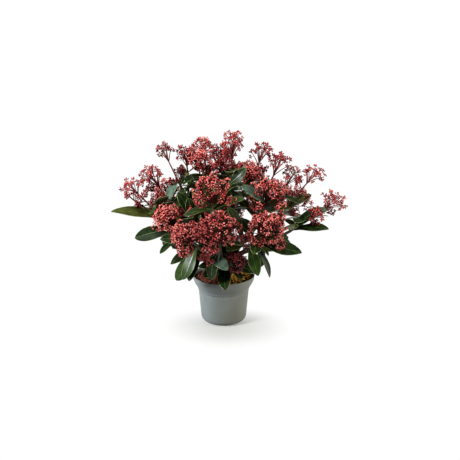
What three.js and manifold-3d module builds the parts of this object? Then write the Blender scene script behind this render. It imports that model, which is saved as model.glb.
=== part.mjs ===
// A potted skimmia: an evergreen shrub of whorled leaves and red flower heads in bud, in a nursery pot.
// Millimetres, +Z up. The origin is the centre of the pot's flat underside, and -Y is the front.

import * as THREE from "three";
import { mergeVertices } from "three/addons/utils/BufferGeometryUtils.js";
import Module from "manifold-3d";

const wasm = await Module();
wasm.setup();

// ---------------------------------------------------------------- driving dimensions

const GAP = 0.3; // clearance between pieces that meet
const GOLDEN_ANGLE = THREE.MathUtils.degToRad(137.508); // from one leaf or flower cluster to the next
const UP = new THREE.Vector3(0, 0, 1);

const POT = {
  height: 93,
  rimRadius: 60,
  bandRadius: 50.6, // where the flared band starts
  ledgeRadius: 49.3, // just above the ledge under the band
  waistRadius: 48.9, // just under the ledge
  footRadius: 44.2, // just above the rounded foot
  cornerRadius: 11,
  wall: 1.8,
  ledgeHeight: 64,
  bandHeight: 69,
  sides: 24,
  cornerSteps: [0, 0.3, 1],
  flareSteps: [0, 2 / 3, 1], // the soil's edge lies at the middle one
  drainRadius: 4,
  drainCircle: 22,
  drainCount: 6,
  drainSides: 6,
};

const SOIL = { crownHeight: 88, seatRadius: 14 };

const TRUNK = {
  top: 134,
  rootRadius: 7.2,
  topRadius: 5.2,
  flare: 3.4, // how far the root flare stands out, fading up the trunk
  flareFade: 9,
  lean: 5,
  sides: 8,
  steps: 6,
};
const TRUNK_FORK = new THREE.Vector3(0, 0, 120); // the flower heads lean away from this point

const BOUGH = { tipRadius: 2.5, swell: 0.017, sides: 5, steps: 3, bow: 0.42 };
const STEM = { footRadius: 2.7, tipRadius: 1.6, footLength: 8, sides: 3, steps: 3 };

const LEAF = {
  widthShare: 0.36,
  thickness: 1.3,
  arch: 0.07,
  fold: 0.12,
  rows: [[0.28, 0.4], [0.66, 0.5]], // shares of its length, and of its width there
  crossing: 1, // the volume that two leaves of a mass may share
};
const WHORL = {
  zone: 34,
  fullReach: 140,
  start: 0.4, // the share of the leafy shoot below its first leaf
  lowestAngle: 98,
  highestAngle: 50,
  angleSpread: 20,
  turnSpread: 0.5,
  lengthSpread: 0.24,
  shortening: 0.2, // from the lowest leaf to the topmost
  roll: 0.4,
  lift: 0.4, // how much of a downward slope a leaf keeps as it turns up to the light
  steepest: 0.55,
  leaves: 12,
  sideLeaves: 3,
  tries: 4,
  tryTurn: THREE.MathUtils.degToRad(31),
};
const OUTER = { start: 0.3, step: 0.16, outward: 0.7 };
const HEAD = {
  upright: 0.12,
  peakReach: 0.1, // how close a corner lies to a boss's peak to be that peak
  dimple: 0.8,
  openClusters: 7,
  smallClusters: 3,
  smallWidth: 34,
  span: 1.4, // how far the clusters reach down a loose head's dome, 2 being a whole ball
  offset: 0.4,
  rim: 0.8,
  rimSpread: 0.2,
  forkDepth: 0.44, // where a branch to the side leaves the stem, in heads' heights below the centre
  forkRise: 0.28,
  clubWidth: 0.17,
  sink: 1, // how far a club's foot reaches into its stem
};

// A flower head: its centre, width and height, how open it is (0 is a closed dome, 1 a loose spray),
// and the bare stalk that lifts it above its leaves.
const head = (x, y, z, width, height, open, stalk) => ({
  centre: new THREE.Vector3(x, y, z),
  width,
  height,
  open,
  stalk,
});

// One row for each mass of foliage: the limb its bough leaves, how far along that limb, its flower heads,
// the length of its leaves, its look, and the tips of the long outer leaves that shape the outline.
const MASSES = [
  {
    name: "crest",
    from: "trunk",
    at: 1,
    heads: [head(18, 10, 345, 36, 52, 0.8, 20), head(4, 24, 298, 42, 36, 0.4, 4)],
    leaf: 62,
    look: "foliage",
  },
  {
    name: "front",
    from: "trunk",
    at: 0.66,
    heads: [head(-10, -124, 216, 68, 62, 0, 4), head(-30, -90, 152, 26, 22, 1, 10)],
    leaf: 66,
    look: "blossom",
    tips: [[7, -112, 139], [-22, -86, 112]],
  },
  {
    name: "front_left",
    from: "trunk",
    at: 0.5,
    heads: [head(-66, -110, 203, 52, 46, 0, 4)],
    leaf: 68,
    look: "blossom",
    tips: [[-96, -70, 137], [-86, -76, 107], [-71, -100, 118]],
  },
  {
    name: "left",
    from: "trunk",
    at: 0.72,
    heads: [head(-122, 6, 232, 44, 34, 0.4, 4)],
    leaf: 68,
    look: "foliage",
    tips: [[-160, 10, 214]],
  },
  {
    name: "right_front",
    from: "trunk",
    at: 0.58,
    heads: [head(79, -95, 213, 66, 54, 0, 4), head(36, -90, 184, 34, 32, 1, 6)],
    leaf: 72,
    look: "blossom",
    tips: [[62, -97, 124], [85, -70, 111], [140, -90, 165]],
  },
  {
    name: "right",
    from: "trunk",
    at: 0.8,
    heads: [head(203, -25, 241, 50, 38, 1, 26), head(172, -34, 220, 26, 20, 1, 8)],
    leaf: 60,
    look: "foliage",
    tips: [[192, -53, 198], [190, -36, 231]],
  },
  {
    name: "back_left",
    from: "trunk",
    at: 0.62,
    heads: [head(-114, 72, 240, 58, 48, 0, 6)],
    leaf: 72,
    look: "foliage",
    tips: [[-178, 62, 206], [-122, 66, 128]],
  },
  {
    name: "back",
    from: "trunk",
    at: 0.54,
    heads: [head(-30, 132, 238, 64, 54, 0, 5)],
    leaf: 70,
    look: "blossom",
    tips: [[-36, 110, 118]],
  },
  {
    name: "back_right",
    from: "trunk",
    at: 0.7,
    heads: [head(114, 98, 226, 60, 50, 0, 5)],
    leaf: 72,
    look: "blossom",
    tips: [[84, 84, 112], [166, 96, 178]],
  },
  {
    name: "front_low",
    from: "trunk",
    at: 0.3,
    heads: [head(24, -58, 136, 32, 34, 0.4, 4)],
    leaf: 52,
    look: "foliage",
    tips: [[4, -91, 94]],
  },
  {
    name: "crown_front",
    from: "crest",
    at: 0.3,
    heads: [head(-22, -75, 276, 70, 60, 0, 6)],
    leaf: 66,
    look: "blossom",
  },
  {
    name: "crown_left",
    from: "crest",
    at: 0.5,
    heads: [head(-40, 18, 340, 36, 24, 0, 34), head(-42, -12, 316, 44, 38, 0.2, 4)],
    leaf: 60,
    look: "blossom",
  },
  {
    name: "crown_right",
    from: "crest",
    at: 0.66,
    heads: [head(72, 10, 327, 42, 40, 1, 26), head(52, -4, 288, 38, 34, 0.4, 6)],
    leaf: 64,
    look: "foliage",
  },
  {
    name: "crown_back",
    from: "crest",
    at: 0.42,
    heads: [head(-5, 72, 312, 56, 46, 0.6, 10)],
    leaf: 66,
    look: "blossom",
  },
  {
    name: "back_top",
    from: "crest",
    at: 0.58,
    heads: [head(-54, 72, 306, 48, 42, 0.7, 20)],
    leaf: 62,
    look: "foliage",
  },
  {
    name: "left_front",
    from: "left",
    at: 0.34,
    heads: [head(-100, -80, 225, 50, 46, 0, 5), head(-62, -52, 228, 30, 26, 1, 8)],
    leaf: 66,
    look: "blossom",
    tips: [[-160, -62, 184], [-112, -92, 164]],
  },
  {
    name: "left_upper",
    from: "left",
    at: 0.62,
    heads: [head(-134, 0, 284, 46, 44, 1, 32)],
    leaf: 62,
    look: "foliage",
  },
  {
    name: "left_top",
    from: "left",
    at: 0.46,
    heads: [head(-110, 15, 327, 34, 36, 1, 44), head(-74, 30, 318, 36, 38, 0.8, 16)],
    leaf: 62,
    look: "foliage",
  },
  {
    name: "left_tip",
    from: "left",
    at: 0.8,
    heads: [head(-169, -20, 268, 46, 28, 1, 34), head(-172, -10, 246, 24, 18, 1, 14)],
    leaf: 58,
    look: "foliage",
    tips: [[-205, -42, 229]],
  },
  {
    name: "right_upper",
    from: "right_front",
    at: 0.42,
    heads: [head(84, -50, 262, 70, 62, 0.2, 6)],
    leaf: 66,
    look: "blossom",
  },
  {
    name: "right_top",
    from: "right",
    at: 0.4,
    heads: [head(104, 2, 309, 48, 44, 1, 30), head(128, 12, 280, 36, 42, 1, 14)],
    leaf: 64,
    look: "foliage",
  },
  {
    name: "right_out",
    from: "right",
    at: 0.62,
    heads: [head(167, -5, 287, 44, 34, 1, 36)],
    leaf: 66,
    look: "foliage",
    tips: [[166, 2, 250]],
  },
  {
    name: "right_back",
    from: "back_right",
    at: 0.5,
    heads: [head(150, 62, 228, 50, 44, 0.5, 14)],
    leaf: 66,
    look: "foliage",
    tips: [[206, 46, 196]],
  },
  {
    name: "back_left_low",
    from: "back_left",
    at: 0.42,
    heads: [head(-92, 120, 198, 52, 44, 0, 4)],
    leaf: 66,
    look: "blossom",
    tips: [[-82, 92, 112]],
  },
  {
    name: "back_low",
    from: "back",
    at: 0.42,
    heads: [head(16, 150, 182, 54, 46, 0.2, 4)],
    leaf: 66,
    look: "blossom",
    tips: [[26, 108, 106]],
  },
  {
    name: "back_upper",
    from: "back",
    at: 0.6,
    heads: [head(52, 118, 268, 58, 48, 0, 6)],
    leaf: 66,
    look: "blossom",
  },
];

const MATERIALS = {
  pot: new THREE.MeshStandardMaterial({ color: "#8d9694", roughness: 0.5, metalness: 0 }),
  soil: new THREE.MeshStandardMaterial({ color: "#4a2318", roughness: 1, metalness: 0 }),
  bark: new THREE.MeshStandardMaterial({ color: "#5b3a28", roughness: 0.9, metalness: 0 }),
  foliage: new THREE.MeshStandardMaterial({ color: "#27401f", roughness: 0.4, metalness: 0 }),
  blossom: new THREE.MeshStandardMaterial({ color: "#a63a3a", roughness: 0.6, metalness: 0 }),
};

// ---------------------------------------------------------------- solids

// The closed solid of a geometry whose faces point out.
function solidOf(geometry) {
  geometry.deleteAttribute("normal");
  geometry.deleteAttribute("uv");
  const merged = mergeVertices(geometry, 1e-3);
  return new wasm.Manifold(
    new wasm.Mesh({
      numProp: 3,
      vertProperties: merged.getAttribute("position").array,
      triVerts: new Uint32Array(merged.index.array),
    }),
  );
}

// A named mesh of a solid that stands in the plant's frame, placed by its own origin.
function place(name, solid, material, origin = new THREE.Vector3()) {
  const mesh = solid.translate([-origin.x, -origin.y, -origin.z]).getMesh();
  const geometry = new THREE.BufferGeometry()
    .setAttribute("position", new THREE.BufferAttribute(new Float32Array(mesh.vertProperties), 3))
    .setIndex(new THREE.BufferAttribute(new Uint32Array(mesh.triVerts), 1));
  geometry.computeVertexNormals();
  const placed = new THREE.Mesh(geometry, material);
  placed.name = name;
  placed.position.copy(origin);
  return placed;
}

// The largest closed body of a solid, with any sealed hollow filled and loose scraps dropped.
function mainBody(solid) {
  return solid.decompose().reduce((best, body) => (body.volume() > best.volume() ? body : best));
}

// Whether two solids share any volume.
function touching(a, b) {
  const boxA = a.boundingBox();
  const boxB = b.boundingBox();
  const apart = [0, 1, 2].some((i) => boxA.max[i] < boxB.min[i] || boxB.max[i] < boxA.min[i]);
  return !apart && !a.intersect(b).isEmpty();
}

// A number from 0 to 1 that is always the same for the same keys.
function seeded(...keys) {
  let hash = 2166136261;
  for (const key of keys) {
    hash = Math.imul(hash ^ key, 16777619);
    hash = Math.imul(hash ^ (hash >>> 15), 2246822519);
    hash ^= hash >>> 13;
  }
  return (hash >>> 0) / 4294967296;
}

// A round limb along a curve, with its radius given along its length.
function limb(curve, radiusAt, sides, steps) {
  const geometry = new THREE.CylinderGeometry(1, 1, 1, sides, steps);
  const frames = curve.computeFrenetFrames(steps, false);
  const position = geometry.getAttribute("position");
  for (let i = 0; i < position.count; i += 1) {
    const along = position.getY(i) + 0.5;
    const ring = Math.round(along * steps);
    const point = frames.normals[ring]
      .clone()
      .multiplyScalar(position.getX(i))
      .addScaledVector(frames.binormals[ring], -position.getZ(i))
      .multiplyScalar(radiusAt(along))
      .add(curve.getPointAt(along));
    position.setXYZ(i, point.x, point.y, point.z);
  }
  return solidOf(geometry);
}

// ---------------------------------------------------------------- pot and soil

// The pot's outer radius at a height: a rounded foot, a tapered body, a ledge and a flared band.
function potRadius(height) {
  const p = POT;
  if (height < p.cornerRadius) {
    const drop = p.cornerRadius - height;
    return p.footRadius - p.cornerRadius + Math.sqrt(p.cornerRadius ** 2 - drop ** 2);
  }
  if (height <= p.ledgeHeight) {
    const rise = (height - p.cornerRadius) / (p.ledgeHeight - p.cornerRadius);
    return THREE.MathUtils.lerp(p.footRadius, p.waistRadius, rise);
  }
  if (height <= p.bandHeight) {
    const rise = (height - p.ledgeHeight) / (p.bandHeight - p.ledgeHeight);
    return THREE.MathUtils.lerp(p.ledgeRadius, p.bandRadius, rise);
  }
  const rise = (height - p.bandHeight) / (p.height - p.bandHeight);
  return p.bandRadius + (p.rimRadius - p.bandRadius) * Math.sin((rise * Math.PI) / 2);
}

// The height of a share of the flared band.
function flareHeight(share) {
  return THREE.MathUtils.lerp(POT.bandHeight, POT.height, share);
}

// The heights at which the pot's profile turns.
function potHeights() {
  const corner = POT.cornerSteps.map((share) => share * POT.cornerRadius);
  return [...corner, POT.ledgeHeight, POT.ledgeHeight + 1, ...POT.flareSteps.map(flareHeight)];
}

// A turned solid from a profile of [radius, height] points that starts and ends on the axis.
function turned(profile) {
  const points = profile.map(([radius, height]) => new THREE.Vector2(radius, height));
  return solidOf(new THREE.LatheGeometry(points, POT.sides).rotateX(Math.PI / 2));
}

// The pot's profile set in by some way, from one height up to another.
function innerProfile(inset, lowest, highest) {
  const turns = potHeights().filter((height) => height >= POT.cornerRadius && height !== POT.ledgeHeight);
  const heights = [lowest, ...turns.filter((height) => height < highest), highest];
  return heights.map((height) => [potRadius(height === lowest ? 0 : height) - inset, height]);
}

function makePot() {
  const outer = potHeights().map((height) => [potRadius(height), height]);
  const inner = innerProfile(POT.wall, POT.wall, POT.height).reverse();
  let pot = turned([[0, 0], ...outer, ...inner, [0, POT.wall]]);
  for (let i = 0; i < POT.drainCount; i += 1) {
    const angle = (i * 2 * Math.PI) / POT.drainCount;
    const hole = new THREE.CylinderGeometry(POT.drainRadius, POT.drainRadius, 4 * POT.wall, POT.drainSides)
      .rotateX(Math.PI / 2)
      .translate(POT.drainCircle * Math.cos(angle), POT.drainCircle * Math.sin(angle), 0);
    pot = pot.subtract(solidOf(hole));
  }
  return pot;
}

function makeSoil() {
  const edgeHeight = flareHeight(POT.flareSteps[1]);
  const side = innerProfile(POT.wall + 1.5 * GAP, POT.wall + GAP, edgeHeight);
  const top = [[SOIL.seatRadius, SOIL.crownHeight], [0, SOIL.crownHeight]];
  return turned([[0, POT.wall + GAP], ...side, ...top]);
}

// ---------------------------------------------------------------- trunk and boughs

// The trunk's centre line, from its flat cut on the soil to the fork.
function trunkCurve() {
  const foot = SOIL.crownHeight + GAP;
  return new THREE.QuadraticBezierCurve3(
    new THREE.Vector3(0, 0, foot),
    new THREE.Vector3(0, 0, (foot + TRUNK.top) / 2),
    new THREE.Vector3(TRUNK.lean, TRUNK.lean / 2, TRUNK.top),
  );
}

function trunkRadius(along) {
  const flare = TRUNK.flare * Math.exp(-TRUNK.flareFade * along);
  return THREE.MathUtils.lerp(TRUNK.rootRadius, TRUNK.topRadius, along) + flare;
}

// The way that a flower head faces: away from the fork, and a little more upright.
function headAxis(flower) {
  return flower.centre.clone().sub(TRUNK_FORK).normalize().addScaledVector(UP, HEAD.upright).normalize();
}

// Where a shoot's leaves end and its flower stalk starts.
function collar(flower) {
  return flower.centre.clone().addScaledVector(headAxis(flower), -(flower.height / 2 + flower.stalk));
}

// The length of leafy shoot under a flower head's collar, shorter on a head close to the fork.
function leafyLength(flower) {
  return WHORL.zone * Math.min(1, flower.centre.distanceTo(TRUNK_FORK) / WHORL.fullReach);
}

// Where a mass starts at its bough's tip, and which way it grows from there: its first head leads it.
function massFoot(mass) {
  const [leader] = mass.heads;
  const axis = headAxis(leader);
  return { point: collar(leader).addScaledVector(axis, -(leafyLength(leader) + STEM.footLength)), axis };
}

// The bough's centre line, from inside the limb that carries it to the foot of its mass.
function boughCurve(mass, parentCurve) {
  const start = parentCurve.getPointAt(mass.at);
  if (mass.at === 1) start.addScaledVector(UP, GAP);
  const { point, axis } = massFoot(mass);
  const bend = point.clone().addScaledVector(axis, -BOUGH.bow * point.distanceTo(start));
  return new THREE.QuadraticBezierCurve3(start, bend, point);
}

// A bough thickens towards its root with its length.
function boughRadius(curve) {
  const length = curve.getLength();
  return (along) => BOUGH.tipRadius + BOUGH.swell * length * (1 - along);
}

// ---------------------------------------------------------------- leaves and flower heads

// A thin arched blade from root to tip, widest past its middle, with its margins turned up a little.
function leafBlade(root, tip, facing, spare = 0) {
  const along = tip.clone().sub(root);
  const length = along.length();
  along.normalize();
  const normal = facing.clone().addScaledVector(along, -facing.dot(along)).normalize();
  const side = normal.clone().cross(along);
  const width = length * LEAF.widthShare + spare;
  const at = (share, across, lift) => {
    const bowed = LEAF.arch * length * 4 * share * (1 - share) + LEAF.fold * Math.abs(across);
    return root
      .clone()
      .addScaledVector(along, share * length)
      .addScaledVector(side, across)
      .addScaledVector(normal, bowed + lift);
  };
  const right = LEAF.rows.map(([share, part]) => at(share, -part * width, 0));
  const left = LEAF.rows.map(([share, part]) => at(share, part * width, 0)).reverse();
  const outline = [at(0, 0, 0), ...right, at(1, 0, 0), ...left];
  const half = LEAF.thickness / 2 + spare;
  const points = [...outline, at(0.5, 0, half), at(0.5, 0, -half)];
  const top = outline.length;
  const faces = outline.flatMap((_, i) => {
    const next = (i + 1) % outline.length;
    return [top, i, next, top + 1, next, i];
  });
  const geometry = new THREE.BufferGeometry().setFromPoints(points);
  geometry.setIndex(faces);
  return solidOf(geometry);
}

// Two directions square to an axis and to each other.
function frameOf(axis) {
  const across = Math.abs(axis.z) < 0.95 ? UP.clone().cross(axis).normalize() : new THREE.Vector3(1, 0, 0);
  const other = axis.clone().cross(across).normalize();
  return { across: other.clone().cross(axis).normalize(), other };
}

// The centre line of one shoot, which bends towards its collar and then up to its flower head.
function shootCurve(mass, flower) {
  const { point, axis } = massFoot(mass);
  const start = point.clone().addScaledVector(axis, STEM.footLength / 2);
  return new THREE.QuadraticBezierCurve3(start, collar(flower), flower.centre);
}

// The share of a shoot that carries leaves, from its foot up.
function leafyShare(flower, curve) {
  return 1 - (flower.height / 2 + flower.stalk) / curve.getLength();
}

// One leaf of a shoot, as its root, tip and the way it faces. Leaves spiral up to the collar, the lowest
// most spread. Each try turns the leaf a little further aside.
function whorlLeaf(mass, massIndex, flowerIndex, i, count, attempt) {
  const flower = mass.heads[flowerIndex];
  const axis = headAxis(flower);
  const { across, other } = frameOf(axis);
  const noise = (channel) => seeded(massIndex, flowerIndex, i, channel) - 0.5;
  const rise = (i + 0.5) / count;
  const turn = i * GOLDEN_ANGLE + massIndex + WHORL.turnSpread * noise(1) + attempt * WHORL.tryTurn;
  const angle = THREE.MathUtils.lerp(WHORL.lowestAngle, WHORL.highestAngle, rise);
  const tilt = THREE.MathUtils.degToRad(angle + WHORL.angleSpread * noise(2));
  const out = across.clone().multiplyScalar(Math.cos(turn)).addScaledVector(other, Math.sin(turn));
  const way = axis.clone().multiplyScalar(Math.cos(tilt)).addScaledVector(out, Math.sin(tilt));
  way.setZ(way.z < 0 ? way.z * WHORL.lift : Math.min(way.z, WHORL.steepest)).normalize();
  const length = mass.leaf * (1 - WHORL.shortening * rise + WHORL.lengthSpread * noise(3));
  const curve = shootCurve(mass, flower);
  const root = curve.getPointAt(leafyShare(flower, curve) * THREE.MathUtils.lerp(WHORL.start, 1, rise));
  const tip = root.clone().addScaledVector(way, length);
  return { root, tip, facing: axis.clone().add(UP).addScaledVector(out, WHORL.roll * noise(4)) };
}

// The long outer leaves of a mass, from the foot of its first shoot to their given tips.
function outerLeaves(mass) {
  const curve = shootCurve(mass, mass.heads[0]);
  const leafy = leafyShare(mass.heads[0], curve);
  return (mass.tips ?? []).map((given, i) => {
    const tip = new THREE.Vector3(...given);
    const root = curve.getPointAt(leafy * (OUTER.start + OUTER.step * i));
    const outward = new THREE.Vector3(tip.x, tip.y, 0).normalize();
    return { root, tip, facing: outward.multiplyScalar(OUTER.outward).add(UP) };
  });
}

// A dense flower head: a dome whose surface stands out in blunt bosses of buds.
function denseHead(flower) {
  const geometry = new THREE.IcosahedronGeometry(1, 1);
  const position = geometry.getAttribute("position");
  const bosses = new THREE.IcosahedronGeometry(1, 0).getAttribute("position");
  const bossAt = (i) => new THREE.Vector3().fromBufferAttribute(bosses, i);
  const peaks = Array.from({ length: bosses.count }, (_, i) => bossAt(i));
  const corner = new THREE.Vector3();
  for (let i = 0; i < position.count; i += 1) {
    corner.fromBufferAttribute(position, i);
    const isPeak = peaks.some((peak) => peak.distanceTo(corner) < HEAD.peakReach);
    corner.multiplyScalar(isPeak ? 1 : HEAD.dimple);
    position.setXYZ(i, corner.x, corner.y, corner.z);
  }
  geometry
    .scale(flower.width / 2, flower.width / 2, flower.height / 2)
    .applyQuaternion(new THREE.Quaternion().setFromUnitVectors(UP, headAxis(flower)))
    .translate(flower.centre.x, flower.centre.y, flower.centre.z);
  return [solidOf(geometry)];
}

// The root and the centre of each bud cluster of a loose head, spread evenly over a dome.
function sprayBranches(flower, curve, seed) {
  const axis = headAxis(flower);
  const { across, other } = frameOf(axis);
  const count = flower.width < HEAD.smallWidth ? HEAD.smallClusters : HEAD.openClusters;
  return Array.from({ length: count }, (_, i) => {
    const cosine = 1 - (HEAD.span * (i + HEAD.offset)) / count;
    const sine = Math.sqrt(1 - cosine ** 2);
    const turn = i * GOLDEN_ANGLE + seed;
    const depth = HEAD.rim * (1 - HEAD.rimSpread * seeded(seed, i));
    const out = across.clone().multiplyScalar(Math.cos(turn)).addScaledVector(other, Math.sin(turn));
    const centre = flower.centre
      .clone()
      .addScaledVector(axis, (flower.height / 2) * cosine * depth)
      .addScaledVector(out, (flower.width / 2) * sine * depth);
    const drop = (HEAD.forkDepth - HEAD.forkRise * cosine) * flower.height;
    return { root: curve.getPointAt(1 - drop / curve.getLength()), centre };
  });
}

// A loose flower head: a spray of clubs, each a bud cluster that narrows down to its stalk.
function looseHead(flower, curve, seed) {
  return sprayBranches(flower, curve, seed).map(({ root, centre }, i) => {
    const way = centre.clone().sub(root);
    const length = way.length();
    const radius = HEAD.clubWidth * flower.width;
    const geometry = new THREE.OctahedronGeometry(radius, 0);
    const position = geometry.getAttribute("position");
    for (let j = 0; j < position.count; j += 1) {
      if (position.getY(j) < -radius / 2) position.setY(j, -length - HEAD.sink);
    }
    geometry
      .rotateY(i)
      .applyQuaternion(new THREE.Quaternion().setFromUnitVectors(new THREE.Vector3(0, 1, 0), way.normalize()))
      .translate(centre.x, centre.y, centre.z);
    return solidOf(geometry);
  });
}

function flowerHead(flower, curve, seed) {
  return flower.open < 0.5 ? denseHead(flower) : looseHead(flower, curve, seed);
}

// The stems of a mass: a foot that meets the bough's tip, and one shoot up to each flower head.
function massStems(mass) {
  const { point, axis } = massFoot(mass);
  const start = point.clone().addScaledVector(axis, GAP);
  const end = point.clone().addScaledVector(axis, STEM.footLength);
  const foot = limb(new THREE.LineCurve3(start, end), () => STEM.footRadius, BOUGH.sides, 1);
  const taper = (along) => THREE.MathUtils.lerp(STEM.footRadius, STEM.tipRadius, along);
  return [...mass.heads.map((flower) => limb(shootCurve(mass, flower), taper, STEM.sides, STEM.steps)), foot];
}

// ---------------------------------------------------------------- assembly

const pot = makePot();
const soil = makeSoil();
const trunk = limb(trunkCurve(), trunkRadius, TRUNK.sides, TRUNK.steps);

const curves = { trunk: trunkCurve() };
const boughs = {};
let clearance = limb(trunkCurve(), (along) => trunkRadius(along) + GAP, TRUNK.sides, TRUNK.steps);
for (const mass of MASSES) {
  const curve = boughCurve(mass, curves[mass.from]);
  const radius = boughRadius(curve);
  curves[mass.name] = curve;
  boughs[mass.name] = mainBody(limb(curve, radius, BOUGH.sides, BOUGH.steps).subtract(clearance));
  clearance = clearance.add(limb(curve, (along) => radius(along) + GAP, BOUGH.sides, BOUGH.steps));
}

// Stems and flower heads first, then the outer leaves, then the whorls: a leaf that would touch
// another piece, or one of its own mass's flower heads, is skipped.
const fixed = [pot, soil, trunk, ...Object.values(boughs)];
const grown = MASSES.map((mass, index) => ({
  stems: massStems(mass),
  flowers: mass.heads.flatMap((flower, i) => flowerHead(flower, shootCurve(mass, flower), 10 * index + i)),
  leaves: [],
}));

function fits(blade, index, isOwnClear) {
  const clear = (solid) => !touching(blade, solid);
  return (
    fixed.every(clear) &&
    grown[index].flowers.every(clear) &&
    isOwnClear(grown[index]) &&
    grown.every((other, i) => i === index || [...other.stems, ...other.flowers, ...other.leaves].every(clear))
  );
}

// Adds a leaf to its mass if it is clear of the rest, and says whether it did.
function grow({ root, tip, facing }, index, isOwnClear = () => true) {
  const room = leafBlade(root, tip, facing, 2 * GAP);
  const fitting = fits(room, index, (own) => isOwnClear(own, room));
  if (fitting) grown[index].leaves.push(leafBlade(root, tip, facing));
  return fitting;
}

MASSES.forEach((mass, index) => {
  for (const leaf of outerLeaves(mass)) {
    grow(leaf, index);
  }
});

MASSES.forEach((mass, index) => {
  mass.heads.forEach((flower, shoot) => {
    const count = shoot === 0 ? WHORL.leaves : WHORL.sideLeaves;
    const uncrossed = ({ stems, leaves }, room) =>
      stems.every((stem, i) => i === shoot || !touching(room, stem)) &&
      leaves.every((leaf) => room.intersect(leaf).volume() < LEAF.crossing);
    for (let i = 0; i < count; i += 1) {
      const leafAt = (attempt) => whorlLeaf(mass, index, shoot, i, count, attempt);
      let attempt = 0;
      while (attempt < WHORL.tries && !grow(leafAt(attempt), index, uncrossed)) attempt += 1;
    }
  });
});

const skimmia = new THREE.Group();
skimmia.name = "potted_skimmia";
skimmia.add(place("pot", pot, MATERIALS.pot));
skimmia.add(place("soil", soil, MATERIALS.soil));
skimmia.add(place("trunk", trunk, MATERIALS.bark, curves.trunk.getPoint(0)));
MASSES.forEach((mass, index) => {
  const { stems, flowers, leaves } = grown[index];
  const foliage = mainBody(wasm.Manifold.union([...stems, ...flowers, ...leaves]));
  skimmia.add(place(`bough_${mass.name}`, boughs[mass.name], MATERIALS.bark, curves[mass.name].getPoint(0)));
  skimmia.add(place(`mass_${mass.name}`, foliage, MATERIALS[mass.look], massFoot(mass).point));
});

export default skimmia;
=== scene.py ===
"""A skimmia in bud in a grey nursery pot, seen by soft studio light.

Shapes are worked out in millimetres and written to meshes in metres. +Z is up, -Y is the front, and the
origin is the centre of the pot's flat underside.
"""

import logging
import math
from collections.abc import Callable, Iterable, Sequence
from dataclasses import dataclass, field
from enum import Enum, IntEnum
from functools import cached_property, partial

import bpy
import numpy as np
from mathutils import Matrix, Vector


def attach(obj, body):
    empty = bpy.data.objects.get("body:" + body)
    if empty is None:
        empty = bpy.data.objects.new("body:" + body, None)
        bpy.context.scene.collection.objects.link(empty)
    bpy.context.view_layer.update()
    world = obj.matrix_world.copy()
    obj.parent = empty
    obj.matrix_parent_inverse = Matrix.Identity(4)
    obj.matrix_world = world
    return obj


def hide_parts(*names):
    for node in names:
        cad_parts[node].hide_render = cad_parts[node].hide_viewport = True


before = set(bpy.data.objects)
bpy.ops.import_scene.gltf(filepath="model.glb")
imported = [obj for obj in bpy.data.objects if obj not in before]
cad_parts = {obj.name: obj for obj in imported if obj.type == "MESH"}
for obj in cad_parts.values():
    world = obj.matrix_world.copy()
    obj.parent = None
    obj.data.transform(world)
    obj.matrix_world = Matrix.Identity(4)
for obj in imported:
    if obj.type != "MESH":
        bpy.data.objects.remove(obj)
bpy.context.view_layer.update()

LOG = logging.getLogger("skimmia")
METRES = 0.001  # in a millimetre
GOLDEN_ANGLE = math.radians(137.508)  # from one leaf or flower cluster to the next
UP = np.array((0.0, 0.0, 1.0))
FORK = np.array((0.0, 0.0, 120.0))  # the flower heads lean away from this point
EYE = np.array((12.2, -1200.0, 530.0))  # where the camera stands
LOOSE_LIFT = 1.2  # how much more upright than its stalk a loose head opens
WORD = 0xFFFFFFFF
WHITE = (1.0, 1.0, 1.0, 1.0)
MASS_KEYS = 1000  # the leaves of each mass are numbered from a multiple of this
SHOOT_KEYS = 100
BOUGH_KEYS = 700
OUTER_KEYS = 900
STRAY_KEYS = 50000

Points = np.ndarray
Colour = tuple[float, float, float, float]


class Draw(IntEnum):
    """Keys that set the kinds of seeded draws apart."""

    CHIP_PLACE = 71
    CHIP_SHAPE = 72
    BOUGH_LEAF = 77
    GRANULE_PLACE = 81
    GRANULE_AXIS = 82
    LEAF_SHAPE = 901
    LEAF_TINT = 911
    BUD_TINT = 931
    HEAD_CHEER = 1224


class LeafDraw(IntEnum):
    """The draws that make each leaf its own."""

    WIDTH = 0
    ARCH = 1
    WAVE = 2
    BEND = 3
    TWIST = 4
    ROLL = 5


class FlowerDraw(IntEnum):
    """The draws that make each branch and sprig of a flower head its own."""

    DEPTH = 3
    GAP = 4
    SPRIG_TURN = 7
    SPRIG_LENGTH = 8
    SPRIG_COUNT = 9
    SIDE_TILT = 21
    SIDE_PLACE = 22
    SIDE_LENGTH = 23


class LeafSlot(IntEnum):
    """The material slots of a leaf's faces."""

    UPPER = 0
    RIB = 1
    MARGIN = 2
    UNDER = 3
    BROWNED = 4


def rgb(red: int, green: int, blue: int) -> Colour:
    """Turns a display colour into the linear colour that a shader takes.

    Args:
        red: Display red, 0 to 255.
        green: Display green, 0 to 255.
        blue: Display blue, 0 to 255.

    Returns:
        The linear colour with full alpha.
    """
    shares = [part / 255 for part in (red, green, blue)]
    linear = [share / 12.92 if share <= 0.04045 else ((share + 0.055) / 1.055) ** 2.4 for share in shares]
    return (linear[0], linear[1], linear[2], 1.0)


def seeded(*keys: int) -> float:
    """Gives a number from 0 to 1 that is always the same for the same keys.

    Args:
        keys: Whole numbers that name the draw.

    Returns:
        The number.
    """
    value = 2166136261
    for key in keys:
        value = ((value ^ (key & WORD)) * 16777619) & WORD
        value = ((value ^ (value >> 15)) * 2246822519) & WORD
        value ^= value >> 13
    return value / (WORD + 1)


def seeded_row(count: int, *keys: int) -> Points:
    """Gives a row of numbers from 0 to 1 that are always the same for the same keys."""
    return np.array([seeded(*keys, channel) for channel in range(count)])


def lerp(start: float, end: float, share: float) -> float:
    """Gives the value a share of the way from start to end."""
    return start + (end - start) * share


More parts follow.
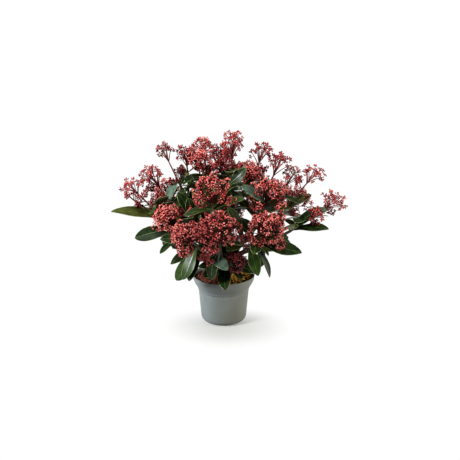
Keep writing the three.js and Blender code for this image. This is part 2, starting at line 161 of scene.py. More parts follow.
def smooth(low: float, high: float, value: float | Points) -> float | Points:
    """Eases from 0 at low to 1 at high."""
    share = np.clip((value - low) / (high - low), 0.0, 1.0)
    return share * share * (3.0 - 2.0 * share)


def unit(vector: Points) -> Points:
    """Scales a vector, or each row of an array of them, to length 1."""
    return vector / np.maximum(np.linalg.norm(vector, axis=-1, keepdims=True), 1e-9)


def circle(sides: int) -> Points:
    """Gives evenly spaced angles all the way round."""
    return np.arange(sides) * 2 * math.pi / sides


def around(first: Points, second: Points, turn: float) -> Points:
    """Gives the way at an angle from one way towards another that is square to it."""
    return first * math.cos(turn) + second * math.sin(turn)


def rays(first: Points, second: Points, turns: Points) -> Points:
    """Gives the ways at several angles, one per row."""
    return np.outer(np.cos(turns), first) + np.outer(np.sin(turns), second)


def across_axis(axis: Points) -> tuple[Points, Points]:
    """Gives two directions square to an axis and to each other.

    Args:
        axis: A unit vector.

    Returns:
        The two unit vectors.
    """
    first = unit(np.cross(UP, axis)) if abs(axis[2]) < 0.95 else np.array((1.0, 0.0, 0.0))
    other = unit(np.cross(axis, first))
    return unit(np.cross(other, axis)), other


def put_in_scene(name: str, data: bpy.types.ID) -> bpy.types.Object:
    """Puts a mesh, a light or a camera into the scene.

    Args:
        name: The name of its object.
        data: The mesh, light or camera.

    Returns:
        The object.
    """
    made = bpy.data.objects.new(name, data)
    bpy.context.scene.collection.objects.link(made)
    return made


# ---------------------------------------------------------------- shader graphs


@dataclass(frozen=True)
class Wire:
    """A value inside a shader, which takes part in Python's arithmetic."""

    graph: "Graph"
    socket: bpy.types.NodeSocket

    def _math(self, operation: str, *values: "Wire | float") -> "Wire":
        """Adds a Math node on the given values."""
        return self.graph.node("ShaderNodeMath", {"operation": operation}, dict(enumerate(values)))

    def __add__(self, other: "Wire | float") -> "Wire":
        """Adds a value."""
        return self._math("ADD", self, other)

    __radd__ = __add__

    def __sub__(self, other: "Wire | float") -> "Wire":
        """Takes a value away."""
        return self._math("SUBTRACT", self, other)

    def __rsub__(self, other: "Wire | float") -> "Wire":
        """Takes this value away from another."""
        return self._math("SUBTRACT", other, self)

    def __mul__(self, other: "Wire | float") -> "Wire":
        """Multiplies by a value."""
        return self._math("MULTIPLY", self, other)

    __rmul__ = __mul__

    def ease(self, low: float, high: float) -> "Wire":
        """Eases from 0 where the value is low to 1 where it is high.

        Args:
            low: The value that gives 0.
            high: The value that gives 1.

        Returns:
            The eased value.
        """
        settings = {"interpolation_type": "SMOOTHSTEP"}
        return self.graph.node("ShaderNodeMapRange", settings, {0: self, 1: low, 2: high})


class Graph:
    """The node tree of one material."""

    def __init__(self, name: str) -> None:
        """Starts an empty material.

        Args:
            name: The material's name.
        """
        self.material = bpy.data.materials.new(name)
        self.material.use_nodes = True
        self.tree = self.material.node_tree
        self.tree.nodes.clear()

    def node(
        self,
        kind: str,
        settings: dict[str, object] | None = None,
        sockets: dict[int | str, object] | None = None,
        output: int | str = 0,
    ) -> Wire:
        """Adds a node.

        Args:
            kind: The node's type.
            settings: Its own settings, which are set first.
            sockets: Values or wires for its input sockets.
            output: The output socket to give back.

        Returns:
            A wire from that output.
        """
        node = self.tree.nodes.new(kind)
        for name, value in (settings or {}).items():
            setattr(node, name, value)
        for key, value in (sockets or {}).items():
            if isinstance(value, Wire):
                self.tree.links.new(value.socket, node.inputs[key])
            else:
                node.inputs[key].default_value = value
        return Wire(self, node.outputs[output])

    def place(self) -> Wire:
        """Gives the point being shaded, in metres."""
        return self.node("ShaderNodeTexCoord", output="Object")

    def noise(self, scale: float, detail: float = 3.0, place: Wire | None = None) -> Wire:
        """Adds soft noise from 0 to 1.

        Args:
            scale: Lumps per metre.
            detail: How many finer layers it has.
            place: Where it is read, the shaded point if left out.

        Returns:
            The noise.
        """
        sockets = {"Vector": place or self.place(), "Scale": scale, "Detail": detail}
        return self.node("ShaderNodeTexNoise", None, sockets, "Fac")

    def stretched(self, x: float, y: float, z: float) -> Wire:
        """Gives the shaded point with each axis scaled, for a pattern drawn out along one of them."""
        sockets = {0: self.place(), 1: (x, y, z)}
        return self.node("ShaderNodeVectorMath", {"operation": "MULTIPLY"}, sockets)

    def axis(self, name: str) -> Wire:
        """Gives the shaded point's distance along X, Y or Z, in metres."""
        return self.node("ShaderNodeSeparateXYZ", None, {0: self.place()}, name)

    def mix(self, share: Wire | float, first: Wire | Colour, second: Wire | Colour) -> Wire:
        """Mixes two colours.

        Args:
            share: How much of the second shows.
            first: The colour at 0.
            second: The colour at 1.

        Returns:
            The mixed colour.
        """
        return self.node("ShaderNodeMix", {"data_type": "RGBA"}, {0: share, 6: first, 7: second}, 2)

    def bump(self, height: Wire, depth: float) -> Wire:
        """Adds fine relief.

        Args:
            height: The relief, 0 to 1.
            depth: Its full depth in millimetres.

        Returns:
            The bumped normal.
        """
        return self.node("ShaderNodeBump", None, {"Height": height, "Distance": depth * METRES})

    def surface(self, **sockets: object) -> bpy.types.Material:
        """Ends the tree in a Principled shader.

        Args:
            sockets: Its sockets by name, with _ for a space.

        Returns:
            The finished material.
        """
        named = {name.replace("_", " "): value for name, value in sockets.items()}
        return self.finish(self.node("ShaderNodeBsdfPrincipled", None, named))

    def finish(self, shader: Wire) -> bpy.types.Material:
        """Links a shader to the material's output.

        Args:
            shader: The shader.

        Returns:
            The finished material.
        """
        output = self.tree.nodes.new("ShaderNodeOutputMaterial")
        self.tree.links.new(shader.socket, output.inputs["Surface"])
        return self.material


# ---------------------------------------------------------------- finishes


@dataclass(frozen=True)
class LivingSkin:
    """A plant's skin: two shades clouded together under a waxy coat, with faint pores."""

    name: str
    shade: Colour
    light: Colour
    cloud: float = 90.0
    pore: float = 900.0
    relief: float = 0.08
    roughness: float = 0.38
    shine: float = 0.5
    coat: float = 0.35
    coat_roughness: float = 0.25

    def material(self) -> bpy.types.Material:
        """Makes the material.

        Returns:
            The material.
        """
        graph = Graph(self.name)
        clouds = graph.noise(self.cloud, 4.0)
        pores = graph.noise(self.pore, 2.0)
        return graph.surface(
            Base_Color=graph.mix(clouds.ease(0.3, 0.7), self.shade, self.light),
            Roughness=self.roughness + 0.14 * (pores - 0.5),
            Specular_IOR_Level=self.shine,
            Coat_Weight=self.coat,
            Coat_Roughness=self.coat_roughness,
            Normal=graph.bump(pores + 0.6 * clouds, self.relief),
        )


@dataclass(frozen=True)
class Bark:
    """Rough young bark with ridges drawn out along the limbs."""

    name: str
    furrow: Colour
    ridge: Colour
    lichen: Colour

    def material(self) -> bpy.types.Material:
        """Makes the material.

        Returns:
            The material.
        """
        graph = Graph(self.name)
        ridges = graph.noise(700.0, 5.0, graph.stretched(1.0, 1.0, 0.3))
        patches = graph.noise(70.0, 3.0)
        bark = graph.mix(ridges.ease(0.35, 0.65), self.furrow, self.ridge)
        return graph.surface(
            Base_Color=graph.mix(0.5 * patches.ease(0.55, 0.75), bark, self.lichen),
            Roughness=0.75 + 0.2 * (ridges - 0.5),
            Normal=graph.bump(ridges, 0.5),
        )


@dataclass(frozen=True)
class PotPlastic:
    """Moulded grey plastic: slightly cloudy, scuffed, dusty up from under the band and flecked dark, with
    painted shade on its right half.
    """

    body: Colour
    pale: Colour
    dust: Colour
    # The colour of the dark flecks, and of the painted shade on the right half.
    shade_and_stain: Colour

    def material(self) -> bpy.types.Material:
        """Makes the material.

        Returns:
            The material.
        """
        graph = Graph("grey_pot_plastic")
        clouds = graph.noise(24.0, 4.0)
        streaks = graph.noise(60.0, 3.0, graph.stretched(1.0, 1.0, 0.12))
        scuffs = graph.noise(160.0, 6.0, graph.stretched(0.4, 0.4, 1.6))
        specks = graph.noise(520.0, 3.0)
        height = graph.axis("Z")
        low = 1.0 - height.ease(0.004, 0.07)
        # Painted shade: the right half is darkened towards the fleck colour, more and in clouds towards the
        # foot.
        shaded_right_side = graph.axis("X").ease(-0.05, -0.002)
        plastic = graph.mix(0.55 * clouds.ease(0.3, 0.7) + 0.25 * streaks, self.body, self.pale)
        painted_shade_film = shaded_right_side * (0.24 + 0.34 * low * clouds.ease(0.3, 0.62))
        shaded_plastic = graph.mix(painted_shade_film, plastic, self.shade_and_stain)
        dusty = height.ease(0.055, 0.095) * streaks.ease(0.5, 0.75) * 0.4
        dust = graph.mix(dusty + 0.3 * scuffs.ease(0.66, 0.74), shaded_plastic, self.dust)
        return graph.surface(
            Base_Color=graph.mix(0.5 * specks.ease(0.7, 0.78), dust, self.shade_and_stain),
            Roughness=0.42 + 0.18 * streaks + 0.25 * scuffs.ease(0.6, 0.72),
            Specular_IOR_Level=0.45,
            Normal=graph.bump(specks + 2.0 * scuffs.ease(0.66, 0.74), 0.06),
        )


@dataclass(frozen=True)
class Litter:
    """Matt potting matter: fibrous, flecked and clouded."""

    name: str
    shade: Colour
    light: Colour
    fleck: Colour
    grain: float = 500.0

    def material(self) -> bpy.types.Material:
        """Makes the material.

        Returns:
            The material.
        """
        graph = Graph(self.name)
        fibres = graph.noise(self.grain, 6.0, graph.stretched(1.0, 0.35, 1.0))
        clouds = graph.noise(130.0, 2.0)
        blend = 0.5 * fibres.ease(0.35, 0.65) + 0.5 * clouds.ease(0.4, 0.6)
        mixed = graph.mix(blend, self.shade, self.light)
        return graph.surface(
            Base_Color=graph.mix(fibres.ease(0.66, 0.74), mixed, self.fleck),
            Roughness=0.85 - 0.2 * clouds,
            Normal=graph.bump(fibres, 0.5),
        )


class LeafTint(Enum):
    """The shades of a leaf's upper skin; the pale bluish-grey one is a painted sheen."""

    DEEP = "deep"
    MIDDLE = "middle"
    OLIVE = "olive"
    SILVER = "silver"


class BudTint(Enum):
    """The shades that buds come in, from the lit coral to the darkest; the lit coral and the shaded maroon
    are painted light and shade.
    """

    CORAL = "coral"
    ROSE = "rose"
    CRIMSON = "crimson"
    MAROON = "maroon"


LEAF_SHADES: dict[LeafTint, tuple[Colour, Colour]] = {
    LeafTint.DEEP: (rgb(14, 27, 8), rgb(33, 51, 16)),
    LeafTint.MIDDLE: (rgb(30, 50, 14), rgb(52, 76, 26)),
    LeafTint.OLIVE: (rgb(40, 46, 12), rgb(68, 74, 28)),
    # A pale bluish grey: a painted sheen.
    LeafTint.SILVER: (rgb(50, 68, 60), rgb(86, 104, 92)),
}
# Lit and shaded copies of the bud colour, dealt out by where a bud sits: painted light and shade.
BUD_SHADES: dict[BudTint, tuple[Colour, Colour]] = {
    BudTint.CORAL: (rgb(214, 82, 72), rgb(250, 150, 136)),
    BudTint.ROSE: (rgb(176, 46, 46), rgb(212, 82, 76)),
    BudTint.CRIMSON: (rgb(128, 26, 32), rgb(166, 50, 50)),
    BudTint.MAROON: (rgb(52, 14, 16), rgb(88, 28, 30)),
}
BUD_COATS = {BudTint.CORAL: 0.75, BudTint.ROSE: 0.6, BudTint.CRIMSON: 0.4, BudTint.MAROON: 0.05}


def leaf_materials(tint: LeafTint) -> list[bpy.types.Material]:
    """Makes the five skins of a leaf.

    Args:
        tint: Which shade of leaf.

    Returns:
        The skins in the order of LeafSlot.
    """
    shade, light = LEAF_SHADES[tint]
    gloss = {"roughness": 0.42, "shine": 0.1, "coat": 0.11, "coat_roughness": 0.18}
    skins = (
        LivingSkin(f"leaf_upper_{tint.value}", shade, light, **gloss),
        LivingSkin(f"leaf_rib_{tint.value}", rgb(66, 94, 42), rgb(96, 122, 60), coat=0.3),
        LivingSkin(f"leaf_margin_{tint.value}", rgb(84, 104, 52), rgb(124, 138, 80), coat=0.3),
        LivingSkin(
            f"leaf_under_{tint.value}", rgb(72, 84, 44), rgb(100, 112, 64), roughness=0.5, coat=0.15
        ),
        LivingSkin(f"leaf_brown_{tint.value}", rgb(96, 58, 20), rgb(170, 110, 38), **gloss),
    )
    return [skin.material() for skin in skins]


def bud_material(tint: BudTint) -> bpy.types.Material:
    """Makes the waxy skin of a bud.

    Args:
        tint: Which shade of bud.

    Returns:
        The material.
    """
    coat = BUD_COATS[tint]
    gloss = {"roughness": 0.36, "shine": 0.7 * coat, "coat": coat, "coat_roughness": 0.14}
    return LivingSkin(f"bud_{tint.value}", *BUD_SHADES[tint], cloud=420.0, **gloss).material()


# ---------------------------------------------------------------- meshes


@dataclass
class Build:
    """Points and faces gathered for one piece."""

    points: list[Points] = field(default_factory=list)
    faces: list[tuple[Points, Points]] = field(default_factory=list)
    count: int = 0

    def add(self, points: Points, faces: Points, slots: int | Points = 0) -> None:
        """Adds faces on new points.

        Args:
            points: The points, one per row.
            faces: Rows of point numbers that start from 0, all with as many corners.
            slots: The material slot of all faces, or of each.
        """
        self.faces.append((faces + self.count, np.broadcast_to(slots, len(faces))))
        self.points.append(points)
        self.count += len(points)

    def add_more(self, faces: Points, slots: int | Points = 0) -> None:
        """Adds faces with another number of corners on the points that were added last."""
        start = self.count - len(self.points[-1])
        self.faces.append((faces + start, np.broadcast_to(slots, len(faces))))

    def add_caps(self, sides: int, rows: int, slot: int = 0, is_downward: bool = False) -> None:
        """Closes both ends of the rings that were added last.

        Args:
            sides: How many points a ring has.
            rows: How many rings there are.
            slot: The material slot.
            is_downward: Whether the rings run down and not up.
        """
        ring = np.arange(sides)[::-1] if is_downward else np.arange(sides)
        self.add_more(ring[::-1][None, :], slot)
        self.add_more((ring + sides * (rows - 1))[None, :], slot)

    def add_turned(self, profile: Sequence[tuple[float, float]], sides: int) -> None:
        """Adds a profile of radii and heights turned round Z, with both ends closed."""
        self.add(*turned_shape(profile, sides))
        self.add_caps(sides, len(profile))

    def mesh(self, name: str) -> bpy.types.Mesh:
        """Writes the points and faces into a mesh with smooth shading.

        Args:
            name: The mesh's name.

        Returns:
            The mesh.
        """
        mesh = bpy.data.meshes.new(name)
        points = np.concatenate(self.points) * METRES
        sizes = np.concatenate([np.full(len(faces), faces.shape[1]) for faces, _ in self.faces])
        corners = np.concatenate([faces.ravel() for faces, _ in self.faces])
        slots = np.concatenate([numbers for _, numbers in self.faces])
        mesh.vertices.add(len(points))
        mesh.vertices.foreach_set("co", points.astype(np.float32).ravel())
        mesh.loops.add(len(corners))
        mesh.loops.foreach_set("vertex_index", corners.astype(np.int32))
        mesh.polygons.add(len(sizes))
        mesh.polygons.foreach_set("loop_start", (np.cumsum(sizes) - sizes).astype(np.int32))
        mesh.polygons.foreach_set("material_index", slots.astype(np.int32))
        mesh.polygons.foreach_set("use_smooth", np.ones(len(sizes), dtype=bool))
        mesh.update(calc_edges=True)
        return mesh

    def piece(
        self,
        name: str,
        materials: Sequence[bpy.types.Material],
        slot: str,
        stands_for: Iterable[str] = (),
    ) -> bpy.types.Object:
        """Puts the piece into the scene.

        Args:
            name: The piece's name.
            materials: Its materials, by slot number.
            slot: The part's own material slot; not used.
            stands_for: The solids that it replaces.

        Returns:
            The object.
        """
        made = put_in_scene(name, self.mesh(name))
        for material in materials:
            made.data.materials.append(material)
        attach(made, "root")
        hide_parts(*stands_for)
        triangles = sum(len(faces) * (faces.shape[1] - 2) for faces, _ in self.faces)
        LOG.info("%s: %d points, %d triangles", name, self.count, triangles)
        return made


def grid_faces(rows: int, columns: int, closed: bool = False) -> Points:
    """Gives the quads of a grid of points numbered row by row.

    Args:
        rows: How many rows of points.
        columns: How many points in a row.
        closed: Whether the last column joins the first.

    Returns:
        The quads, one per row.
    """
    row = np.arange(rows - 1)[:, None] * columns
    column = np.arange(columns if closed else columns - 1)[None, :]
    after = (column + 1) % columns
    corners = [row + column, row + after, row + columns + after, row + columns + column]
    return np.stack([np.broadcast_to(c, (rows - 1, column.size)).ravel() for c in corners], axis=1)


def add_tube(
    build: Build,
    line: Points,
    radii: Points,
    sides: int,
    slot: int = 0,
    relief: Callable[[Points, Points], Points] | None = None,
) -> None:
    """Adds a round limb with closed ends along a line of points.

    Args:
        build: The piece that takes it.
        line: The centre line's points.
        radii: The radius at each point.
        sides: How many sides it has.
        slot: Its material slot.
        relief: Gives how far the skin stands out, from the distance along and the angle round.
    """
    ways = unit(np.gradient(line, axis=0))
    across, _ = across_axis(ways[0])
    turns = circle(sides)
    steps = np.linalg.norm(np.diff(line, axis=0), axis=1)
    run = np.concatenate([[0.0], np.cumsum(steps)])
    rings = []
    for point, way, radius, distance in zip(line, ways, radii, run):
        across = unit(across - way * np.dot(across, way))
        out = rays(across, np.cross(way, across), turns)
        lift = relief(np.full(sides, distance), turns) if relief else 0.0
        rings.append(point + out * np.reshape(radius + lift, (-1, 1)))
    build.add(np.concatenate(rings), grid_faces(len(line), sides, closed=True), slot)
    build.add_caps(sides, len(line), slot)


def across_axes(axes: Points) -> tuple[Points, Points]:
    """Gives two directions square to each axis of an array, one per row.

    Args:
        axes: Unit vectors, one per row.

    Returns:
        The first and the second directions.
    """
    spare = np.where(np.abs(axes[:, 2:3]) < 0.9, UP, np.array((1.0, 0.0, 0.0)))
    across = unit(np.cross(spare, axes))
    return across, np.cross(axes, across)


def add_rods(build: Build, starts: Points, ends: Points, radius: float, slot: int = 0) -> None:
    """Adds many thin three-sided stalks, each from its start to its end.

    Args:
        build: The piece that takes them.
        starts: Where they start, one per row.
        ends: Where they end.
        radius: Their radius.
        slot: Their material slot.
    """
    across, other = across_axes(unit(ends - starts))
    count = len(starts)
    corners = np.zeros((count, 6, 3))
    for side in range(3):
        out = around(across, other, side * 2 * math.pi / 3)
        corners[:, side] = starts + out * radius
        corners[:, side + 3] = ends + out * radius
    base = (np.arange(count) * 6)[:, None]
    quads = [[0, 1, 4, 3], [1, 2, 5, 4], [2, 0, 3, 5]]
    build.add(corners.reshape(-1, 3), np.concatenate([base + np.array(quad) for quad in quads]), slot)
    build.add_more(np.concatenate([base + np.array(cap) for cap in ([2, 1, 0], [3, 4, 5])]), slot)


def add_copies(
    build: Build,
    shape: Points,
    kinds: Sequence[Points],
    places: Sequence[tuple[Points, Points, float]],
) -> None:
    """Adds many copies of a small shape, each with its Z axis along its own axis.

    Args:
        build: The piece that takes them.
        shape: The shape's points.
        kinds: The shape's faces, one array for each number of corners.
        places: Where each copy's origin goes, its axis and its scale.
    """
    centres, axes, sizes = (np.array(column) for column in zip(*places))
    across, other = across_axes(axes)
    turned = (
        shape[None, :, 0:1] * across[:, None, :]
        + shape[None, :, 1:2] * other[:, None, :]
        + shape[None, :, 2:3] * axes[:, None, :]
    )
    points = centres[:, None, :] + turned * sizes[:, None, None]
    base = (np.arange(len(centres)) * len(shape))[:, None, None]
    faces = [(base + kind[None]).reshape(-1, kind.shape[1]) for kind in kinds]
    build.add(points.reshape(-1, 3), faces[0])
    for more in faces[1:]:
        build.add_more(more)


def turned_shape(profile: Sequence[tuple[float, float]], sides: int) -> tuple[Points, Points]:
    """Turns a profile round Z into rings of quads.

    Args:
        profile: Rows of radius and height.
        sides: How many sides it has.

    Returns:
        The points and the quads.
    """
    turns = circle(sides)
    rings = [
        np.stack([radius * np.cos(turns), radius * np.sin(turns), np.full(sides, height)], axis=1)
        for radius, height in profile
    ]
    return np.concatenate(rings), grid_faces(len(profile), sides, closed=True)


# ---------------------------------------------------------------- the plant's rule


@dataclass(frozen=True, eq=False)
class Bend:
    """A curve with one bend, measured along its length."""

    start: Points
    middle: Points
    end: Points

    def _point(self, t: Points) -> Points:
        """Gives points by the curve's own parameter."""
        t = np.atleast_1d(t)[:, None]
        return (1 - t) ** 2 * self.start + 2 * t * (1 - t) * self.middle + t * t * self.end

    @cached_property
    def _table(self) -> tuple[Points, Points]:
        """The curve's parameter and the length up to it.

        Returns:
            Both, at the same steps.
        """
        t = np.linspace(0.0, 1.0, 201)
        steps = np.linalg.norm(np.diff(self._point(t), axis=0), axis=1)
        return t, np.concatenate([[0.0], np.cumsum(steps)])

    @property
    def length(self) -> float:
        """The curve's length."""
        return float(self._table[1][-1])

    def at(self, share: float | Points) -> Points:
        """Gives points along the curve.

        Args:
            share: The share of the length, or an array of them.

        Returns:
            The point, or one row for each share.
        """
        t, run = self._table
        found = self._point(np.interp(np.atleast_1d(share) * run[-1], run, t))
        return found[0] if np.isscalar(share) else found


@dataclass(frozen=True, eq=False)
class Head:
    """A flower head: where it is, its width and height, how open it is, and the stalk that lifts it."""

    x: float
    y: float
    z: float
    width: float
    height: float
    openness: float
    stalk: float

    @cached_property
    def centre(self) -> Points:
        """The head's centre."""
        return np.array((self.x, self.y, self.z), dtype=float)

    @cached_property
    def axis(self) -> Points:
        """The way that it faces: away from the fork, and a little more upright."""
        return unit(unit(self.centre - FORK) + 0.12 * UP)

    @cached_property
    def collar(self) -> Points:
        """Where its shoot's leaves end and its stalk starts."""
        return self.centre - self.axis * (self.height / 2 + self.stalk)

    @property
    def is_dense(self) -> bool:
        """Whether it is a closed dome and not a loose spray."""
        return self.openness < 0.5

    def on_dome(self, cosine: float, turn: float, depth: float) -> Points:
        """Gives a point under the head's dome.

        Args:
            cosine: 1 at the dome's top, 0 at its side.
            turn: The angle round its axis.
            depth: 1 on the dome, 0 at its centre.

        Returns:
            The point.
        """
        axis = unit(self.axis + LOOSE_LIFT * self.openness * UP)
        across, other = across_axis(axis)
        sine = math.sqrt(max(0.0, 1.0 - cosine**2))
        rise = axis * (self.height / 2) * cosine * depth
        return self.centre + rise + around(across, other, turn) * (self.width / 2) * sine * depth


@dataclass(frozen=True, eq=False)
class Mass:
    """One mass of foliage: the limb that its bough leaves and where, its heads, leaves and outer tips."""

    name: str
    carrier: str
    at: float
    heads: tuple[Head, ...]
    leaf: float
    tips: tuple[tuple[float, float, float], ...] = ()

    @cached_property
    def index(self) -> int:
        """The mass's place in the plant."""
        return PLANT.index(self)

    @cached_property
    def foot(self) -> Points:
        """Where the mass starts, at its bough's tip.

        Returns:
            The point.
        """
        leader = self.heads[0]
        reach = min(1.0, float(np.linalg.norm(leader.centre - FORK)) / GROWTH.full_reach)
        return leader.collar - leader.axis * (GROWTH.leafy_zone * reach + GROWTH.foot_length)

    def shoot(self, head: Head) -> Bend:
        """Gives the centre line of one shoot, which bends towards its collar and up to its head."""
        start = self.foot + self.heads[0].axis * (GROWTH.foot_length / 2)
        return Bend(start, head.collar, head.centre)

    def leafy_share(self, head: Head) -> float:
        """Gives the share of a shoot that carries leaves."""
        return 1.0 - (head.height / 2 + head.stalk) / self.shoot(head).length


@dataclass(frozen=True)
class Growth:
    """The sizes of the growing rule: lengths in millimetres, angles in degrees, turns in radians."""

    leafy_zone: float = 34.0
    full_reach: float = 140.0
    foot_length: float = 8.0
    first_leaf: float = 0.4
    lowest_angle: float = 98.0
    highest_angle: float = 50.0
    angle_spread: float = 20.0
    turn_spread: float = 0.5
    length_spread: float = 0.24
    shortening: float = 0.2
    roll: float = 0.4
    lift: float = 0.4
    steepest: float = 0.55
    leader_leaves: tuple[int, int] = (16, 7)
    side_leaves: int = 7
    bough_leaves: tuple[int, int] = (9, 3)
    bough_start: float = 0.42
    bough_angle: float = 104.0
    bough_angle_spread: float = 24.0
    bough_length_spread: float = 0.2
    bough_step: float = 0.05
    thinning: float = 1.4
    tries: int = 6
    try_turn: float = math.radians(31)
    outer_start: float = 0.1
    outer_step: float = 0.2
    outward: float = 0.7
    sideways: float = 0.5
    beside: float = 1.5
    back_side: float = 30.0
    lit_reach: float = -95.0
    taken_reach: float = 8.0
    outer_roll: float = 0.3
    snap_reach: float = 40.0
    shoot_start: float = 1.5
    shoot_end: float = 0.02

    def leaf_count(self, span: tuple[int, int], head: Head) -> int:
        """Gives how many leaves there are, fewer the more open the head is."""
        return round(lerp(*span, min(1.0, self.thinning * head.openness)))

    def levelled(self, way: Points) -> Points:
        """Keeps a leaf's way from drooping or rising steeply.

        Args:
            way: The way, which is changed.

        Returns:
            The way at length 1.
        """
        way[2] = way[2] * self.lift if way[2] < 0 else min(way[2], self.steepest)
        return unit(way)


GROWTH = Growth()
PLANT: tuple[Mass, ...] = (
    Mass("crest", "trunk", 1.0, (Head(18, 10, 345, 36, 52, 0.8, 20), Head(4, 24, 298, 42, 36, 0.4, 4)), 62),
    Mass(
        "front",
        "trunk",
        0.66,
        (Head(-10, -124, 216, 68, 62, 0, 4), Head(-30, -90, 152, 26, 22, 1, 10)),
        66,
        ((7, -112, 139), (-22, -86, 112)),
    ),
    Mass(
        "front_left",
        "trunk",
        0.5,
        (Head(-66, -110, 203, 52, 46, 0, 4),),
        68,
        ((-96, -70, 137), (-86, -76, 107), (-71, -100, 118)),
    ),
    Mass("left", "trunk", 0.72, (Head(-122, 6, 232, 44, 34, 0.4, 4),), 68, ((-160, 10, 214),)),
    Mass(
        "right_front",
        "trunk",
        0.58,
        (Head(79, -95, 213, 66, 54, 0, 4), Head(36, -90, 184, 34, 32, 1, 6)),
        72,
        ((62, -97, 124), (85, -70, 111), (140, -90, 165)),
    ),
    Mass(
        "right",
        "trunk",
        0.8,
        (Head(203, -25, 241, 50, 38, 1, 26), Head(172, -34, 220, 26, 20, 1, 8)),
        60,
        ((192, -53, 198), (190, -36, 231)),
    ),
    Mass(
        "back_left",
        "trunk",
        0.62,
        (Head(-114, 72, 240, 58, 48, 0, 6),),
        72,
        ((-178, 62, 206), (-122, 66, 128)),
    ),
    Mass("back", "trunk", 0.54, (Head(-30, 132, 238, 64, 54, 0, 5),), 70, ((-36, 110, 118),)),
    Mass(
        "back_right",
        "trunk",
        0.7,
        (Head(114, 98, 226, 60, 50, 0, 5),),
        72,
        ((84, 84, 112), (166, 96, 178)),
    ),
    Mass("front_low", "trunk", 0.3, (Head(24, -58, 136, 32, 34, 0.4, 4),), 52, ((4, -91, 94),)),
    Mass("crown_front", "crest", 0.3, (Head(-22, -75, 276, 70, 60, 0, 6),), 66),
    Mass(
        "crown_left",
        "crest",
        0.5,
        (Head(-40, 18, 340, 36, 24, 0, 34), Head(-42, -12, 316, 44, 38, 0.2, 4)),
        60,
    ),
    Mass(
        "crown_right",
        "crest",
        0.66,
        (Head(72, 10, 327, 42, 40, 1, 26), Head(52, -4, 288, 38, 34, 0.4, 6)),
        64,
    ),
    Mass("crown_back", "crest", 0.42, (Head(-5, 72, 312, 56, 46, 0.6, 10),), 66),
    Mass("back_top", "crest", 0.58, (Head(-54, 72, 306, 48, 42, 0.7, 20),), 62),
    Mass(
        "left_front",
        "left",
        0.34,
        (Head(-100, -80, 225, 50, 46, 0, 5), Head(-62, -52, 228, 30, 26, 1, 8)),
        66,
        ((-160, -62, 184), (-112, -92, 164)),
    ),
    Mass("left_upper", "left", 0.62, (Head(-134, 0, 284, 46, 44, 1, 32),), 62),
    Mass(
        "left_top",
        "left",
        0.46,
        (Head(-110, 15, 327, 34, 36, 1, 44), Head(-74, 30, 318, 36, 38, 0.8, 16)),
        62,
    ),
    Mass(
        "left_tip",
        "left",
        0.8,
        (Head(-169, -20, 268, 46, 28, 1, 34), Head(-172, -10, 246, 24, 18, 1, 14)),
        58,
        ((-205, -42, 229),),
    ),
    Mass("right_upper", "right_front", 0.42, (Head(84, -50, 262, 70, 62, 0.2, 6),), 66),
    Mass(
        "right_top",
        "right",
        0.4,
        (Head(104, 2, 309, 48, 44, 1, 30), Head(128, 12, 280, 36, 42, 1, 14)),
        64,
    ),
    Mass("right_out", "right", 0.62, (Head(167, -5, 287, 44, 34, 1, 36),), 66, ((166, 2, 250),)),
    Mass("right_back", "back_right", 0.5, (Head(150, 62, 228, 50, 44, 0.5, 14),), 66, ((206, 46, 196),)),
    Mass("back_left_low", "back_left", 0.42, (Head(-92, 120, 198, 52, 44, 0, 4),), 66, ((-82, 92, 112),)),
    Mass("back_low", "back", 0.42, (Head(16, 150, 182, 54, 46, 0.2, 4),), 66, ((26, 108, 106),)),
    Mass("back_upper", "back", 0.6, (Head(52, 118, 268, 58, 48, 0, 6),), 66),
)
HEADS = tuple((mass, number, head) for mass in PLANT for number, head in enumerate(mass.heads))
MASS_NODES = tuple(f"mass_{mass.name}" for mass in PLANT)


# ---------------------------------------------------------------- pot and soil


